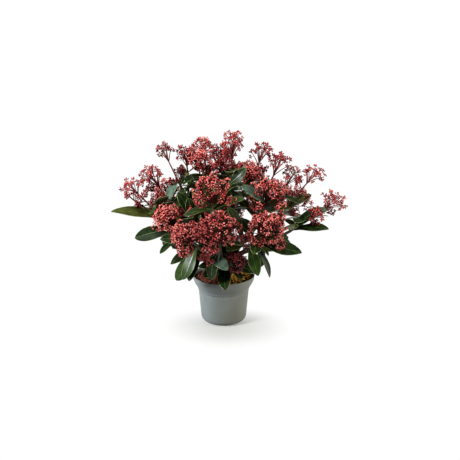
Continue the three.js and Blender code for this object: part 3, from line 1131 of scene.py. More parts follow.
@dataclass(frozen=True)
class Pot:
    """The nursery pot: a rounded foot, a tapered body, a ledge and a flared band with a rolled lip."""

    height: float = 93.0
    rim_radius: float = 60.0
    band_radius: float = 50.6
    ledge_radius: float = 49.3
    waist_radius: float = 48.9
    foot_radius: float = 44.2
    corner: float = 11.0
    wall: float = 1.8
    ledge_height: float = 64.0
    band_height: float = 69.0
    groove: float = 0.35
    floor_radii: tuple[float, float] = (0.4, 12.0)
    drain_radius: float = 4.0
    drain_circle: float = 22.0
    drain_count: int = 6
    drain_sides: int = 24
    sides: int = 120

    def radius(self, height: float) -> float:
        """Gives the outer radius at a height.

        Args:
            height: The height over the pot's underside.

        Returns:
            The radius.
        """
        if height < self.corner:
            drop = self.corner - height
            return self.foot_radius - self.corner + math.sqrt(self.corner**2 - drop**2)
        if height <= self.ledge_height:
            rise = (height - self.corner) / (self.ledge_height - self.corner)
            return lerp(self.foot_radius, self.waist_radius, rise)
        if height <= self.band_height:
            rise = (height - self.ledge_height) / (self.band_height - self.ledge_height)
            return lerp(self.ledge_radius, self.band_radius, rise)
        rise = (height - self.band_height) / (self.height - self.band_height)
        return self.band_radius + (self.rim_radius - self.band_radius) * math.sin(rise * math.pi / 2)

    def _outside(self) -> list[tuple[float, float]]:
        """The outer profile, from the underside up to just under the lip.

        Returns:
            Rows of radius and height.
        """
        corner = [self.corner * (1 - math.cos(turn)) for turn in np.linspace(0.0, math.pi / 2, 9)]
        body = list(np.linspace(self.corner, self.ledge_height - 2.4, 9)[1:])
        ledge = [self.ledge_height + 0.2, self.ledge_height + 1.2]
        band = list(np.linspace(self.ledge_height + 2.0, self.band_height, 4))
        flare = list(np.linspace(self.band_height, self.height - self.wall / 2, 13)[1:])
        low = self.radius(self.ledge_height - 1.0) - self.groove
        steps = ((0.1, 1.8), (0.0, 0.8), (0.0, 0.0))
        groove = [(low + out, self.ledge_height - drop) for out, drop in steps]
        below = [(self.radius(height), height) for height in [*corner, *body]]
        return [*below, *groove, *((self.radius(height), height) for height in [*ledge, *band, *flare])]

    def _lip(self) -> list[tuple[float, float]]:
        """The lip, rounded from outside over the top to inside.

        Returns:
            Rows of radius and height.
        """
        bead = self.wall / 2
        middle = self.radius(self.height - bead) - bead
        turns = np.linspace(0.0, math.pi, 9)[1:-1]
        return [(middle + bead * math.cos(t), self.height - bead + bead * math.sin(t)) for t in turns]

    def inside(self, height: float) -> float:
        """Gives the inner radius at a height."""
        return self.radius(max(height, 0.0) if height > self.corner else 0.0) - self.wall

    def _inside_profile(self) -> list[tuple[float, float]]:
        """The inner profile, from just under the lip down to the floor.

        Returns:
            Rows of radius and height.
        """
        heights = [
            *np.linspace(self.height - self.wall / 2, self.band_height, 12),
            *np.linspace(self.band_height, self.corner, 12)[1:],
            self.wall + 1.0,
        ]
        corner = (self.inside(self.wall) - 1.0, self.wall)
        return [*((self.inside(height), height) for height in heights), corner]

    def build(self, finish: PotPlastic) -> None:
        """Builds the pot with its drain holes.

        Args:
            finish: The pot's plastic.
        """
        near, far = self.floor_radii
        underside = [(near, 0.0), (far, 0.0)]
        floor = [(far, self.wall), (near, self.wall)]
        build = Build()
        sides = [*self._outside(), *self._lip(), *self._inside_profile()]
        build.add_turned([*underside, *sides, *floor], self.sides)
        self._drill(build.piece("pot_shell", [finish.material()], "pot_plastic", ["pot"]))

    def _drill(self, pot: bpy.types.Object) -> None:
        """Cuts the drain holes through the pot's floor.

        Args:
            pot: The pot without its holes.
        """
        cutter = Build()
        ends = [(self.drain_radius, -self.wall), (self.drain_radius, 3 * self.wall)]
        ring, faces = turned_shape(ends, self.drain_sides)
        for turn in circle(self.drain_count):
            cutter.add(ring + self.drain_circle * np.array((math.cos(turn), math.sin(turn), 0.0)), faces)
            cutter.add_caps(self.drain_sides, len(ends))
        drills = put_in_scene("drain_drills", cutter.mesh("drain_drills"))
        cut = pot.modifiers.new("drain_holes", "BOOLEAN")
        cut.operation = "DIFFERENCE"
        cut.solver = "EXACT"
        cut.object = drills
        shape = pot.evaluated_get(bpy.context.evaluated_depsgraph_get())
        mesh = bpy.data.meshes.new_from_object(shape)
        pot.modifiers.clear()
        pot.data = mesh
        bpy.data.objects.remove(drills)


@dataclass(frozen=True)
class Soil:
    """The potting mix: a lumpy bed, bark chips over most of it, and golden granules on the right."""

    pot: Pot
    edge_height: float = 85.0
    crown_height: float = 88.0
    seat_radius: float = 14.0
    clearance: float = 0.45
    floor_gap: float = 0.3
    middle: float = 0.5
    side_heights: tuple[float, ...] = (81.0, 75.0, 69.0, 62.0, 30.0, 10.0, 3.0)
    sides: int = 120
    lump: float = 0.9
    sink: float = 0.6
    chips: int = 330
    chip_corners: int = 6
    chip_sizes: tuple[tuple[float, float], ...] = ((6.0, 7.0), (3.6, 3.6), (1.4, 1.8))
    chip_rings: tuple[tuple[float, float], ...] = ((-0.5, 0.72), (-0.1, 1.0), (0.3, 0.95), (0.5, 0.66))
    chip_lean: float = 0.9
    chip_rise: tuple[float, float] = (0.3, 1.6)
    chip_wall_gap: float = 5.0
    red_share: float = 0.62
    granules: int = 330
    granule_shape: tuple[tuple[float, float], ...] = (
        (0.25, -0.8),
        (0.85, -0.45),
        (1.0, 0.1),
        (0.7, 0.65),
        (0.2, 0.85),
    )
    granule_sides: int = 6
    granule_size: tuple[float, float] = (1.2, 1.0)
    granule_rise: tuple[float, float] = (0.5, 1.8)
    granule_wall_gap: float = 3.0
    trunk_room: float = 11.0
    patch: tuple[float, float] = (30.0, -14.0)
    patch_radius: float = 27.0
    bare_share: float = 0.8
    spill: float = 1.25

    @property
    def edge(self) -> float:
        """The bed's outer radius."""
        return self.pot.inside(self.edge_height) - self.clearance

    def height(self, radius: float | Points) -> float | Points:
        """Gives the bed's height at a distance from the trunk."""
        share = np.clip((radius - self.seat_radius) / (self.edge - self.seat_radius), 0.0, 1.0)
        return self.crown_height + (self.edge_height - self.crown_height) * share

    def _bed(self) -> Build:
        """Builds the bed, closed down to the pot's floor.

        Returns:
            The bed.
        """
        top = [
            (radius, float(self.height(radius)))
            for radius in [self.middle, *np.linspace(3.0, self.edge, 26)]
        ]
        down = [(self.pot.inside(height) - self.clearance, height) for height in self.side_heights]
        floor = self.pot.wall + self.floor_gap
        profile = [*top, *down, (self.pot.inside(0.0) - 2.0, floor), (self.middle, floor)]
        points, faces = turned_shape(profile, self.sides)
        lumpy = np.arange(len(points)) < self.sides * (len(top) - 1)
        x, y = points[lumpy, 0], points[lumpy, 1]
        coarse = np.sin(0.61 * x + 1.3) * np.sin(0.53 * y)
        fine = 0.6 * np.sin(1.3 * x - 0.7 * y) * np.sin(1.1 * y + 0.4 * x)
        points[lumpy, 2] += self.lump * (coarse + fine) - self.sink
        build = Build()
        build.add(points, faces[:, ::-1])
        build.add_caps(self.sides, len(profile), is_downward=True)
        return build

    def _chip_places(self) -> Points:
        """Gives the seeded places of the chips all over the bed.

        Returns:
            One row of x and y each.
        """
        draws = np.array([seeded_row(2, Draw.CHIP_PLACE, number) for number in range(self.chips)])
        turns = draws[:, 0] * 2 * math.pi
        edge = self.pot.inside(self.edge_height) - self.chip_wall_gap
        radii = np.sqrt(lerp(0.03, 1.0, draws[:, 1])) * edge
        return np.stack([radii * np.cos(turns), radii * np.sin(turns)], axis=1)

    def _chip(self, draws: Points) -> Points:
        """Shapes one chip: a flat flake with uneven corners that lies askew.

        Args:
            draws: The chip's own numbers, 0 to 1.

        Returns:
            Its points, ring by ring.
        """
        sizes = [least + spread * draw for (least, spread), draw in zip(self.chip_sizes, draws)]
        turns = circle(self.chip_corners) + 0.5 * draws[3:9]
        outline = np.stack([np.cos(turns) * sizes[0] / 2, np.sin(turns) * sizes[1] / 2], axis=1)
        wobble = 1.0 + 0.16 * (draws[9:15] - 0.5)
        rings = [
            np.column_stack([outline * inset * wobble[:, None], np.full(len(turns), level * sizes[2])])
            for level, inset in self.chip_rings
        ]
        axis = unit(np.array((*(self.chip_lean * (draws[15:17] - 0.5)), 1.0)))
        first = around(*across_axis(axis), 2 * math.pi * draws[17])
        return np.concatenate(rings) @ np.stack([first, np.cross(axis, first), axis])

    def _chip_parts(self) -> tuple[Build, Build]:
        """Builds the bark chips.

        Returns:
            The red ones and the dark ones.
        """
        parts = (Build(), Build())
        rows = len(self.chip_rings)
        for number, (x, y) in enumerate(self._chip_places()):
            if math.dist((x, y), self.patch) < self.bare_share * self.patch_radius:
                continue
            draws = seeded_row(20, Draw.CHIP_SHAPE, number)
            z = float(self.height(math.hypot(x, y))) + self.chip_rise[0] + self.chip_rise[1] * draws[18]
            build = parts[0] if draws[19] < self.red_share else parts[1]
            faces = grid_faces(rows, self.chip_corners, closed=True)
            build.add(self._chip(draws) + np.array((x, y, z)), faces)
            build.add_caps(self.chip_corners, rows)
        return parts

    def _granule_part(self) -> Build:
        """Builds the golden granules, thick in their patch and a few beyond it.

        Returns:
            The granules.
        """
        centres, sizes = [], []
        edge = self.pot.inside(self.edge_height) - self.granule_wall_gap
        for number in range(self.granules):
            draws = seeded_row(4, Draw.GRANULE_PLACE, number)
            turn = 2 * math.pi * draws[0]
            reach = self.patch_radius * self.spill * math.sqrt(draws[1])
            x, y = self.patch[0] + reach * math.cos(turn), self.patch[1] + reach * math.sin(turn)
            radius = math.hypot(x, y)
            if self.trunk_room < radius < edge:
                lift = self.granule_rise[1] * draws[2]
                centres.append((x, y, float(self.height(radius)) + self.granule_rise[0] + lift))
                sizes.append(self.granule_size[0] + self.granule_size[1] * draws[3])
        leans = np.array([seeded_row(3, Draw.GRANULE_AXIS, number) for number in range(len(sizes))])
        shape, faces = turned_shape(self.granule_shape, self.granule_sides)
        ring = np.arange(self.granule_sides)[None, :]
        top = ring + self.granule_sides * (len(self.granule_shape) - 1)
        build = Build()
        places = list(zip(centres, unit(leans - 0.5), sizes))
        add_copies(build, shape, [faces, ring[:, ::-1], top], places)
        return build

    def build(self) -> None:
        """Builds and dresses the bed, the chips and the granules."""
        bed = Litter("potting_bed", rgb(24, 14, 10), rgb(52, 30, 20), rgb(92, 60, 36))
        red = Litter("bark_chip_red", rgb(84, 30, 16), rgb(150, 66, 38), rgb(190, 116, 74))
        dark = Litter("bark_chip_dark", rgb(34, 18, 14), rgb(70, 36, 24), rgb(110, 70, 46))
        gold = Litter("golden_granule", rgb(188, 124, 30), rgb(244, 190, 72), rgb(255, 226, 140), 900.0)
        self._bed().piece("soil_bed", [bed.material()], "potting_mix", ["soil"])
        red_chips, dark_chips = self._chip_parts()
        red_chips.piece("bark_chips_red", [red.material()], "potting_mix")
        dark_chips.piece("bark_chips_dark", [dark.material()], "potting_mix")
        self._granule_part().piece("granules", [gold.material()], "potting_mix")


# ---------------------------------------------------------------- limbs


@dataclass(frozen=True)
class Limbs:
    """The trunk and the boughs, from the flat cut on the soil to the foot of each mass."""

    foot_height: float = 88.3
    top: float = 134.0
    lean: float = 5.0
    root_radius: float = 7.2
    top_radius: float = 5.2
    flare: float = 3.4
    flare_fade: float = 9.0
    tip_radius: float = 2.5
    swell: float = 0.017
    bow: float = 0.42
    gap: float = 0.3
    trunk_relief: float = 0.55
    bough_relief: float = 0.28
    step: float = 1.6

    @cached_property
    def trunk(self) -> Bend:
        """The trunk's centre line.

        Returns:
            The line.
        """
        return Bend(
            np.array((0.0, 0.0, self.foot_height)),
            np.array((0.0, 0.0, (self.foot_height + self.top) / 2)),
            np.array((self.lean, self.lean / 2, self.top)),
        )

    @cached_property
    def boughs(self) -> dict[str, Bend]:
        """The centre lines of the boughs.

        Returns:
            Each line by its mass's name.
        """
        lines: dict[str, Bend] = {}
        for mass in PLANT:
            carrier = self.trunk if mass.carrier == "trunk" else lines[mass.carrier]
            start = carrier.at(mass.at) + (UP * self.gap if mass.at == 1.0 else 0.0)
            distance = float(np.linalg.norm(mass.foot - start))
            middle = mass.foot - mass.heads[0].axis * (self.bow * distance)
            lines[mass.name] = Bend(start, middle, mass.foot)
        return lines

    def trunk_radius(self, share: Points) -> Points:
        """Gives the trunk's radius at a share of its length."""
        return lerp(self.root_radius, self.top_radius, share) + self.flare * np.exp(-self.flare_fade * share)

    def bough_radius(self, line: Bend, share: Points) -> Points:
        """Gives a bough's radius at a share of its length."""
        return self.tip_radius + self.swell * line.length * (1.0 - share)

    def samples(self) -> tuple[Points, Points]:
        """Gives points all along the limbs and the radius at each.

        Returns:
            The points, one per row, and the radii.
        """
        share = np.linspace(0.0, 1.0, 30)
        boughs = self.boughs.values()
        points = [self.trunk.at(share), *(line.at(share) for line in boughs)]
        radii = [self.trunk_radius(share), *(self.bough_radius(line, share) for line in boughs)]
        return np.concatenate(points), np.concatenate(radii)

    @staticmethod
    def bark_relief(depth: float, phase: float) -> Callable[[Points, Points], Points]:
        """Gives bark relief: ridges along the limb that break up and wander.

        Args:
            depth: How far the highest ridge stands out.
            phase: A shift that makes each limb its own.

        Returns:
            The relief, from the distance along and the angle round.
        """

        def relief(run: Points, turn: Points) -> Points:
            """Gives how far the bark stands out.

            Args:
                run: The distance along.
                turn: The angle round.

            Returns:
                The height of the relief.
            """
            wander = 0.5 * np.sin(0.21 * run + phase)
            coarse = np.sin(5 * (turn + wander) + phase) * (0.6 + 0.4 * np.sin(0.34 * run + 2 * phase))
            fine = np.sin(11 * turn - 0.45 * run + 3 * phase) * np.sin(0.9 * run + phase)
            return depth * (0.5 * coarse + 0.5 * fine)

        return relief

    def build(self, bark: Bark, young: Bark) -> None:
        """Builds the trunk and the boughs with their bark's relief.

        Args:
            bark: The trunk's bark.
            young: The boughs' bark.
        """
        trunk = Build()
        share = np.linspace(0.0, 1.0, 52)
        relief = self.bark_relief(self.trunk_relief, 0.7)
        add_tube(trunk, self.trunk.at(share), self.trunk_radius(share), 28, relief=relief)
        trunk.piece("trunk_bark", [bark.material()], "bark", ["trunk"])
        boughs = Build()
        for number, line in enumerate(self.boughs.values()):
            share = np.linspace(0.0, 1.0, max(8, int(line.length / self.step)))
            relief = self.bark_relief(self.bough_relief, 1.9 * number)
            add_tube(boughs, line.at(share), self.bough_radius(line, share), 14, relief=relief)
        boughs.piece("bough_bark", [young.material()], "bark", [f"bough_{mass.name}" for mass in PLANT])


# ---------------------------------------------------------------- leaves


@dataclass(frozen=True, eq=False)
class Leaf:
    """One leaf: its root, its tip, the way it faces and its own small bends."""

    root: Points
    tip: Points
    facing: Points
    key: int
    tint: LeafTint = LeafTint.DEEP
    is_browned: bool = False
    roll: float = 0.9
    least_width: float = 9.0
    width_share: float = 0.23
    arch: float = 0.075
    petiole: float = 1.1
    thickness: float = 0.5
    rows: tuple[float, ...] = (0.0, 0.06, 0.13, 0.21, 0.31, 0.42, 0.53, 0.63, 0.73, 0.82, 0.9, 0.96, 1.0)
    browned_rows: tuple[int, int] = (3, 10)
    width_spread: float = 0.16
    widest: float = 1.42
    fullness: float = 0.64
    blade_start: tuple[float, float] = (0.02, 0.2)
    petiole_end: tuple[float, float] = (0.06, 0.3)
    tip_width: float = 0.12
    arch_spread: float = 0.05
    fold: tuple[float, float] = (0.2, 0.09)
    wave: float = 0.9
    waves: float = 1.5
    bend: float = 0.12
    twist: float = 0.7
    rib: float = 0.62
    rib_taper: float = 0.7
    rib_rise: float = 0.35
    margin: float = 0.55
    margin_share: float = 0.22

    def _draw(self, channel: LeafDraw) -> float:
        """Gives the leaf's own number from -0.5 to 0.5."""
        return seeded(Draw.LEAF_SHAPE, self.key, channel) - 0.5

    @cached_property
    def length(self) -> float:
        """The straight length from root to tip."""
        return float(np.linalg.norm(self.tip - self.root))

    def half_width(self, share: Points) -> Points:
        """Gives half the leaf's width at shares of its length.

        Args:
            share: The shares.

        Returns:
            Half the width at each.
        """
        spread = 1.0 + self.width_spread * self._draw(LeafDraw.WIDTH)
        full = 0.5 * (self.least_width + self.width_share * self.length) * spread
        swell = np.sin(math.pi * np.clip(share, 0.0, 1.0) ** self.widest)
        blade = np.maximum(swell, 0.0) ** self.fullness
        stalk = self.petiole * (1.0 - smooth(*self.petiole_end, share))
        return np.maximum(full * blade * smooth(*self.blade_start, share) + stalk, self.tip_width)

    def surface(self, share: Points, offsets: Points) -> Points:
        """Gives points of the leaf's middle surface.

        Args:
            share: Shares of the length, one per row.
            offsets: Distances from the midrib, one row for each share.

        Returns:
            The points, by row and column.
        """
        way = unit(self.tip - self.root)
        flat = unit(self.facing - way * np.dot(self.facing, way))
        roll = self.roll * self._draw(LeafDraw.ROLL)
        normal = around(flat, np.cross(flat, way), roll)
        side = np.cross(normal, way)
        s = share[:, None]
        half = self.half_width(share)[:, None]
        reach = np.abs(offsets) / half
        bow = 4.0 * s * (1.0 - s)
        bowed = (self.arch + self.arch_spread * self._draw(LeafDraw.ARCH)) * self.length * bow
        fold = self.fold[0] * np.abs(offsets) - self.fold[1] * offsets**2 / half
        phase = 2 * math.pi * (self.waves * s + self._draw(LeafDraw.WAVE)) + np.sign(offsets)
        wave = self.wave * np.sin(phase) * reach**2 * bow
        across = offsets + self.bend * self._draw(LeafDraw.BEND) * self.length * bow
        twist = self.twist * self._draw(LeafDraw.TWIST) * s * bow
        rise = bowed + fold + wave
        sides = side * np.cos(twist)[..., None] + normal * np.sin(twist)[..., None]
        normals = normal * np.cos(twist)[..., None] - side * np.sin(twist)[..., None]
        middle = self.root + way * (s * self.length)[..., None]
        return middle + sides * across[..., None] + normals * rise[..., None]

    @staticmethod
    def _slots(blade: LeafSlot, rows: int) -> Points:
        """Gives the slots of one skin's faces, row by row, from margin over blade and rib to margin."""
        side = (LeafSlot.MARGIN, blade, blade)
        return np.tile(np.array((*side, LeafSlot.RIB, *side[::-1])), (rows, 1))

    def columns(self, share: Points) -> Points:
        """Gives the mesh's offsets from the midrib: margin, blade and rib on both sides.

        Args:
            share: Shares of the length.

        Returns:
            One row of offsets for each share.
        """
        half = self.half_width(share)
        rib = np.minimum(self.rib * (1.0 - self.rib_taper * share), 0.5 * half)
        margin = np.minimum(self.margin, self.margin_share * half)
        inner = half - margin
        middle = (rib + inner) / 2
        right = np.stack([rib, middle, inner, half], axis=1)
        return np.concatenate([-right[:, ::-1], right], axis=1)

    def samples(self) -> Points:
        """Gives points spread over the blade, clear of its root.

        Returns:
            The points, one per row.
        """
        share = np.linspace(0.3, 1.0, 9)
        half = self.half_width(share)[:, None]
        return self.surface(share, half * np.array([[-0.9, -0.45, 0.0, 0.45, 0.9]])).reshape(-1, 3)

    def add_to(self, build: Build) -> None:
        """Adds the leaf's mesh: an upper and a lower skin joined round the edge.

        Args:
            build: The piece that takes it.
        """
        share = np.array(self.rows)
        offsets = self.columns(share)
        middle = self.surface(share, offsets)
        normals = unit(np.cross(np.gradient(middle, axis=1), np.gradient(middle, axis=0)))
        if np.dot(normals[6, 4], self.facing) < 0:
            normals = -normals
        rows, columns = offsets.shape
        thick = np.full(offsets.shape, self.thickness / 2)
        thick[:, 3:5] += self.rib_rise * (1.0 - share)[:, None]
        upper = middle + normals * (self.thickness / 2)
        lower = middle - normals * thick[..., None]
        top = grid_faces(rows, columns)
        count = rows * columns
        slots = self._slots(LeafSlot.UPPER, rows - 1)
        if self.is_browned:
            slots[slice(*self.browned_rows), :2] = LeafSlot.BROWNED
        points = np.concatenate([upper.reshape(-1, 3), lower.reshape(-1, 3)])
        build.add(points, top[:, ::-1], slots.ravel())
        build.add_more(top + count, self._slots(LeafSlot.UNDER, rows - 1).ravel())
        ring = np.concatenate(
            [
                np.arange(columns),
                np.arange(1, rows) * columns + columns - 1,
                (rows - 1) * columns + np.arange(columns - 2, -1, -1),
                np.arange(rows - 2, 0, -1) * columns,
            ]
        )
        after = np.roll(ring, -1)
        build.add_more(np.stack([ring, after, after + count, ring + count], axis=1), LeafSlot.MARGIN)


@dataclass(frozen=True)
class Clearing:
    """A place kept clear of leaves as the camera sees it: its middle in the plane y = 0 and half sizes.

    Leaves may stand in it further back than its own back.
    """

    x: float
    z: float
    half_width: float
    half_height: float
    back: float = 1000.0

    def is_hidden_by(self, points: Points) -> bool:
        """Whether any point stands in the clear place.

        Args:
            points: The points, one per row.

        Returns:
            Whether one does.
        """
        share = EYE[1] / (EYE[1] - points[:, 1])
        seen = EYE + (points - EYE) * share[:, None]
        across = (seen[:, 0] - self.x) / self.half_width
        up = (seen[:, 2] - self.z) / self.half_height
        return bool(np.any((across**2 + up**2 < 1.0) & (points[:, 1] < self.back)))


CLEARINGS: tuple[Clearing, ...] = (
    Clearing(140, 215, 9, 6),
    Clearing(154, 221, 10, 7),
    Clearing(171, 226, 12, 8),
    Clearing(188, 234, 12, 9),
    Clearing(163, 189, 14, 4),
    Clearing(186, 195, 10, 5),
    Clearing(160, 268, 38, 16),
    Clearing(133, 259, 9, 9),
    Clearing(186, 146, 48, 27),
    Clearing(143, 163, 19, 7),
    Clearing(135, 105, 38, 24),
    Clearing(61, 171, 5, 11),
    Clearing(43, 212, 5, 8),
    Clearing(26, 176, 5, 8),
    Clearing(-156, 190, 34, 8),
    Clearing(-134, 153, 28, 7),
    Clearing(-160, 118, 44, 27),
    Clearing(-94, 129, 12, 4),
    Clearing(-114, 91, 22, 19),
    Clearing(-180, 256, 50, 24),
    Clearing(-47, 144, 11, 8, -75),
    Clearing(21, 129, 17, 20, -60),
    Clearing(110, 212, 14, 5),
)


@dataclass(eq=False)
class Thicket:
    """What a new leaf has to keep clear of: heads, limbs, the pot, clear places and other leaves."""

    limbs: Limbs
    pot: Pot
    soil: Soil
    underside_slope: float = 0.92
    roof_height: float = 306.0
    roof_radius: float = 50.0
    roof_slope: float = 0.62
    shoot_radius: float = 2.0
    limb_gap: float = 1.2
    floor_gap: float = 2.0
    rim_gap: float = 1.5
    wall_gap: float = 3.0
    soil_gap: float = 3.5
    neighbourhood: float = 58.0
    face_reach: float = 1.2
    face_share: float = 0.38
    dense_share: float = 0.93
    loose_share: float = 0.7
    leaf_points: list[Points] = field(default_factory=list)
    leaf_centres: list[Points] = field(default_factory=list)

    @cached_property
    def limb_samples(self) -> tuple[Points, Points]:
        """Points all along the limbs and shoots.

        Returns:
            The points, one per row, and the radius at each.
        """
        points, radii = self.limbs.samples()
        share = np.linspace(0.0, 1.0, 24)
        shoots = [mass.shoot(head).at(share) for mass, _, head in HEADS]
        widths = np.full(len(share) * len(shoots), self.shoot_radius)
        return np.concatenate([points, *shoots]), np.concatenate([radii, widths])

    def _in_head(self, points: Points) -> bool:
        """Whether any point is inside a flower head, or over the face of a closed one.

        Args:
            points: The points, one per row.

        Returns:
            Whether one is.
        """
        for _, _, head in HEADS:
            away = points - head.centre
            rise = away @ head.axis
            out = np.sum(away**2, axis=1) - rise**2
            is_before = (rise > 0.0) & (rise < self.face_reach * head.height)
            if head.is_dense and np.any(is_before & (out < (self.face_share * head.width) ** 2)):
                return True
            filled = self.dense_share if head.is_dense else self.loose_share
            inside = (rise / (filled * head.height / 2)) ** 2 + out / (filled * head.width / 2) ** 2
            if np.any(inside < 1.0):
                return True
        return False

    def _is_open(self, points: Points) -> bool:
        """Whether any point lies in a clear place, or above the roof of leaves that the heads top.

        Args:
            points: The points, one per row.

        Returns:
            Whether one does.
        """
        spread = np.maximum(0.0, np.hypot(points[:, 0], points[:, 1]) - self.roof_radius)
        if np.any(points[:, 2] > self.roof_height - self.roof_slope * spread):
            return True
        return any(clearing.is_hidden_by(points) for clearing in CLEARINGS)

    def _hangs_low(self, tip: Points) -> bool:
        """Whether a leaf's tip comes out under the crown, which rises outward from the pot's rim."""
        spread = math.hypot(tip[0], tip[1]) - self.pot.rim_radius
        return bool(tip[2] < self.pot.height + self.underside_slope * max(0.0, spread))

    def _in_limb(self, points: Points) -> bool:
        """Whether any point is inside or against a limb.

        Args:
            points: The points, one per row.

        Returns:
            Whether one is.
        """
        limb_points, radii = self.limb_samples
        gaps = np.linalg.norm(points[:, None, :] - limb_points[None], axis=2) - radii
        return bool(np.any(gaps < self.limb_gap))

    def _in_pot(self, points: Points) -> bool:
        """Whether any point is in the pot's wall, its soil or the floor.

        Args:
            points: The points, one per row.

        Returns:
            Whether one is.
        """
        for x, y, z in points:
            radius = math.hypot(x, y)
            from_wall = abs(radius - self.pot.radius(min(z, self.pot.height)))
            is_in_wall = z < self.pot.height + self.rim_gap and from_wall < self.wall_gap
            if z < self.floor_gap or is_in_wall:
                return True
            if radius < self.pot.rim_radius and z < float(self.soil.height(radius)) + self.soil_gap:
                return True
        return False

    def _in_leaf(self, points: Points, spare: float) -> bool:
        """Whether any point comes close to another leaf's.

        Args:
            points: The points, one per row.
            spare: How close it may come.

        Returns:
            Whether one comes closer.
        """
        centre = points.mean(axis=0)
        for other_centre, other in zip(self.leaf_centres, self.leaf_points):
            if np.linalg.norm(centre - other_centre) > self.neighbourhood:
                continue
            gaps = np.linalg.norm(points[:, None, :] - other[None], axis=2)
            if gaps.min() < spare:
                return True
        return False

    def takes(self, leaf: Leaf, spare: float = 2.6, is_outer: bool = False) -> bool:
        """Takes a leaf in if it is clear of all else.

        Args:
            leaf: The leaf.
            spare: How far it keeps from other leaves.
            is_outer: Whether it is one of the long outer leaves, which grow first.

        Returns:
            Whether the leaf was taken.
        """
        points = leaf.samples()
        if not is_outer:
            if self._hangs_low(leaf.tip) or self._is_open(points) or self._in_head(points):
                return False
            if self._in_limb(points) or self._in_leaf(points, spare) or self._in_pot(points):
                return False
        self.leaf_points.append(points)
        self.leaf_centres.append(points.mean(axis=0))
        return True


@dataclass(frozen=True)
class StrayLeaf:
    """A leaf that grows out of turn, where the crown shows one plainly."""

    root: tuple[float, float, float]
    tip: tuple[float, float, float]
    facing: tuple[float, float, float]
    tint: LeafTint
    is_browned: bool = False


# Leaves with the pale bluish-grey tint carry a painted sheen.
STRAY_LEAVES: tuple[StrayLeaf, ...] = (
    StrayLeaf((-41, -70, 148), (-62, -86, 110), (-0.5, -0.9, 0.8), LeafTint.DEEP),
    StrayLeaf((48, -57, 169), (7, -101, 172), (0.0, -0.1, 1.0), LeafTint.OLIVE),
    StrayLeaf((106, -60, 203), (136, -64, 209), (0.1, 0.4, -1.0), LeafTint.OLIVE),
    StrayLeaf((50, -56, 253), (32, -62, 279), (1.0, -0.2, 0.2), LeafTint.SILVER),
    StrayLeaf((8, -34, 274), (42, -42, 309), (-0.5, -0.8, 0.5), LeafTint.DEEP),
    StrayLeaf((-66, 21, 273), (-81, 30, 302), (-0.2, -0.9, 0.5), LeafTint.SILVER, is_browned=True),
    StrayLeaf((39, -78, 189), (8, -86, 248), (0.9, -0.5, -0.4), LeafTint.DEEP),
    StrayLeaf((-58, -44, 222), (-82, -50, 266), (0.5, -0.85, 0.1), LeafTint.DEEP),
    StrayLeaf((-50, -46, 226), (-62, -58, 258), (0.5, -0.85, 0.0), LeafTint.DEEP),
    StrayLeaf((-99, -11, 194), (-205, -42, 228), (0.2, -0.05, 1.0), LeafTint.OLIVE),
    StrayLeaf((-100, -60, 196), (-160, -62, 184), (0.1, -0.9, 0.3), LeafTint.DEEP),
    StrayLeaf((117, -30, 200), (190, -36, 231), (-0.3, -0.8, 1.0), LeafTint.DEEP),
    StrayLeaf((119, -42, 188), (192, -53, 198), (0.0, -0.3, 1.0), LeafTint.DEEP),
    StrayLeaf((116, -10, 218), (165, 0, 250), (-0.4, -0.7, 1.0), LeafTint.OLIVE),
    StrayLeaf((-86, 12, 277), (-99, -22, 247), (-0.35, -0.75, 0.75), LeafTint.SILVER),
    StrayLeaf((-66, 17, 261), (-57, 5, 284), (-0.2, -0.9, 0.4), LeafTint.DEEP),
    StrayLeaf((-66, 9, 233), (-57, 0, 262), (0.4, -0.9, 0.1), LeafTint.DEEP),
    StrayLeaf((-29, -49, 147), (8, -112, 140), (-0.1, -0.7, 0.9), LeafTint.SILVER),
    StrayLeaf((-44, -74, 170), (-86, -76, 108), (-0.3, -0.9, 0.4), LeafTint.MIDDLE),
    StrayLeaf((12, 7, 257), (41, -8, 272), (0.0, -0.9, 0.4), LeafTint.DEEP),
)


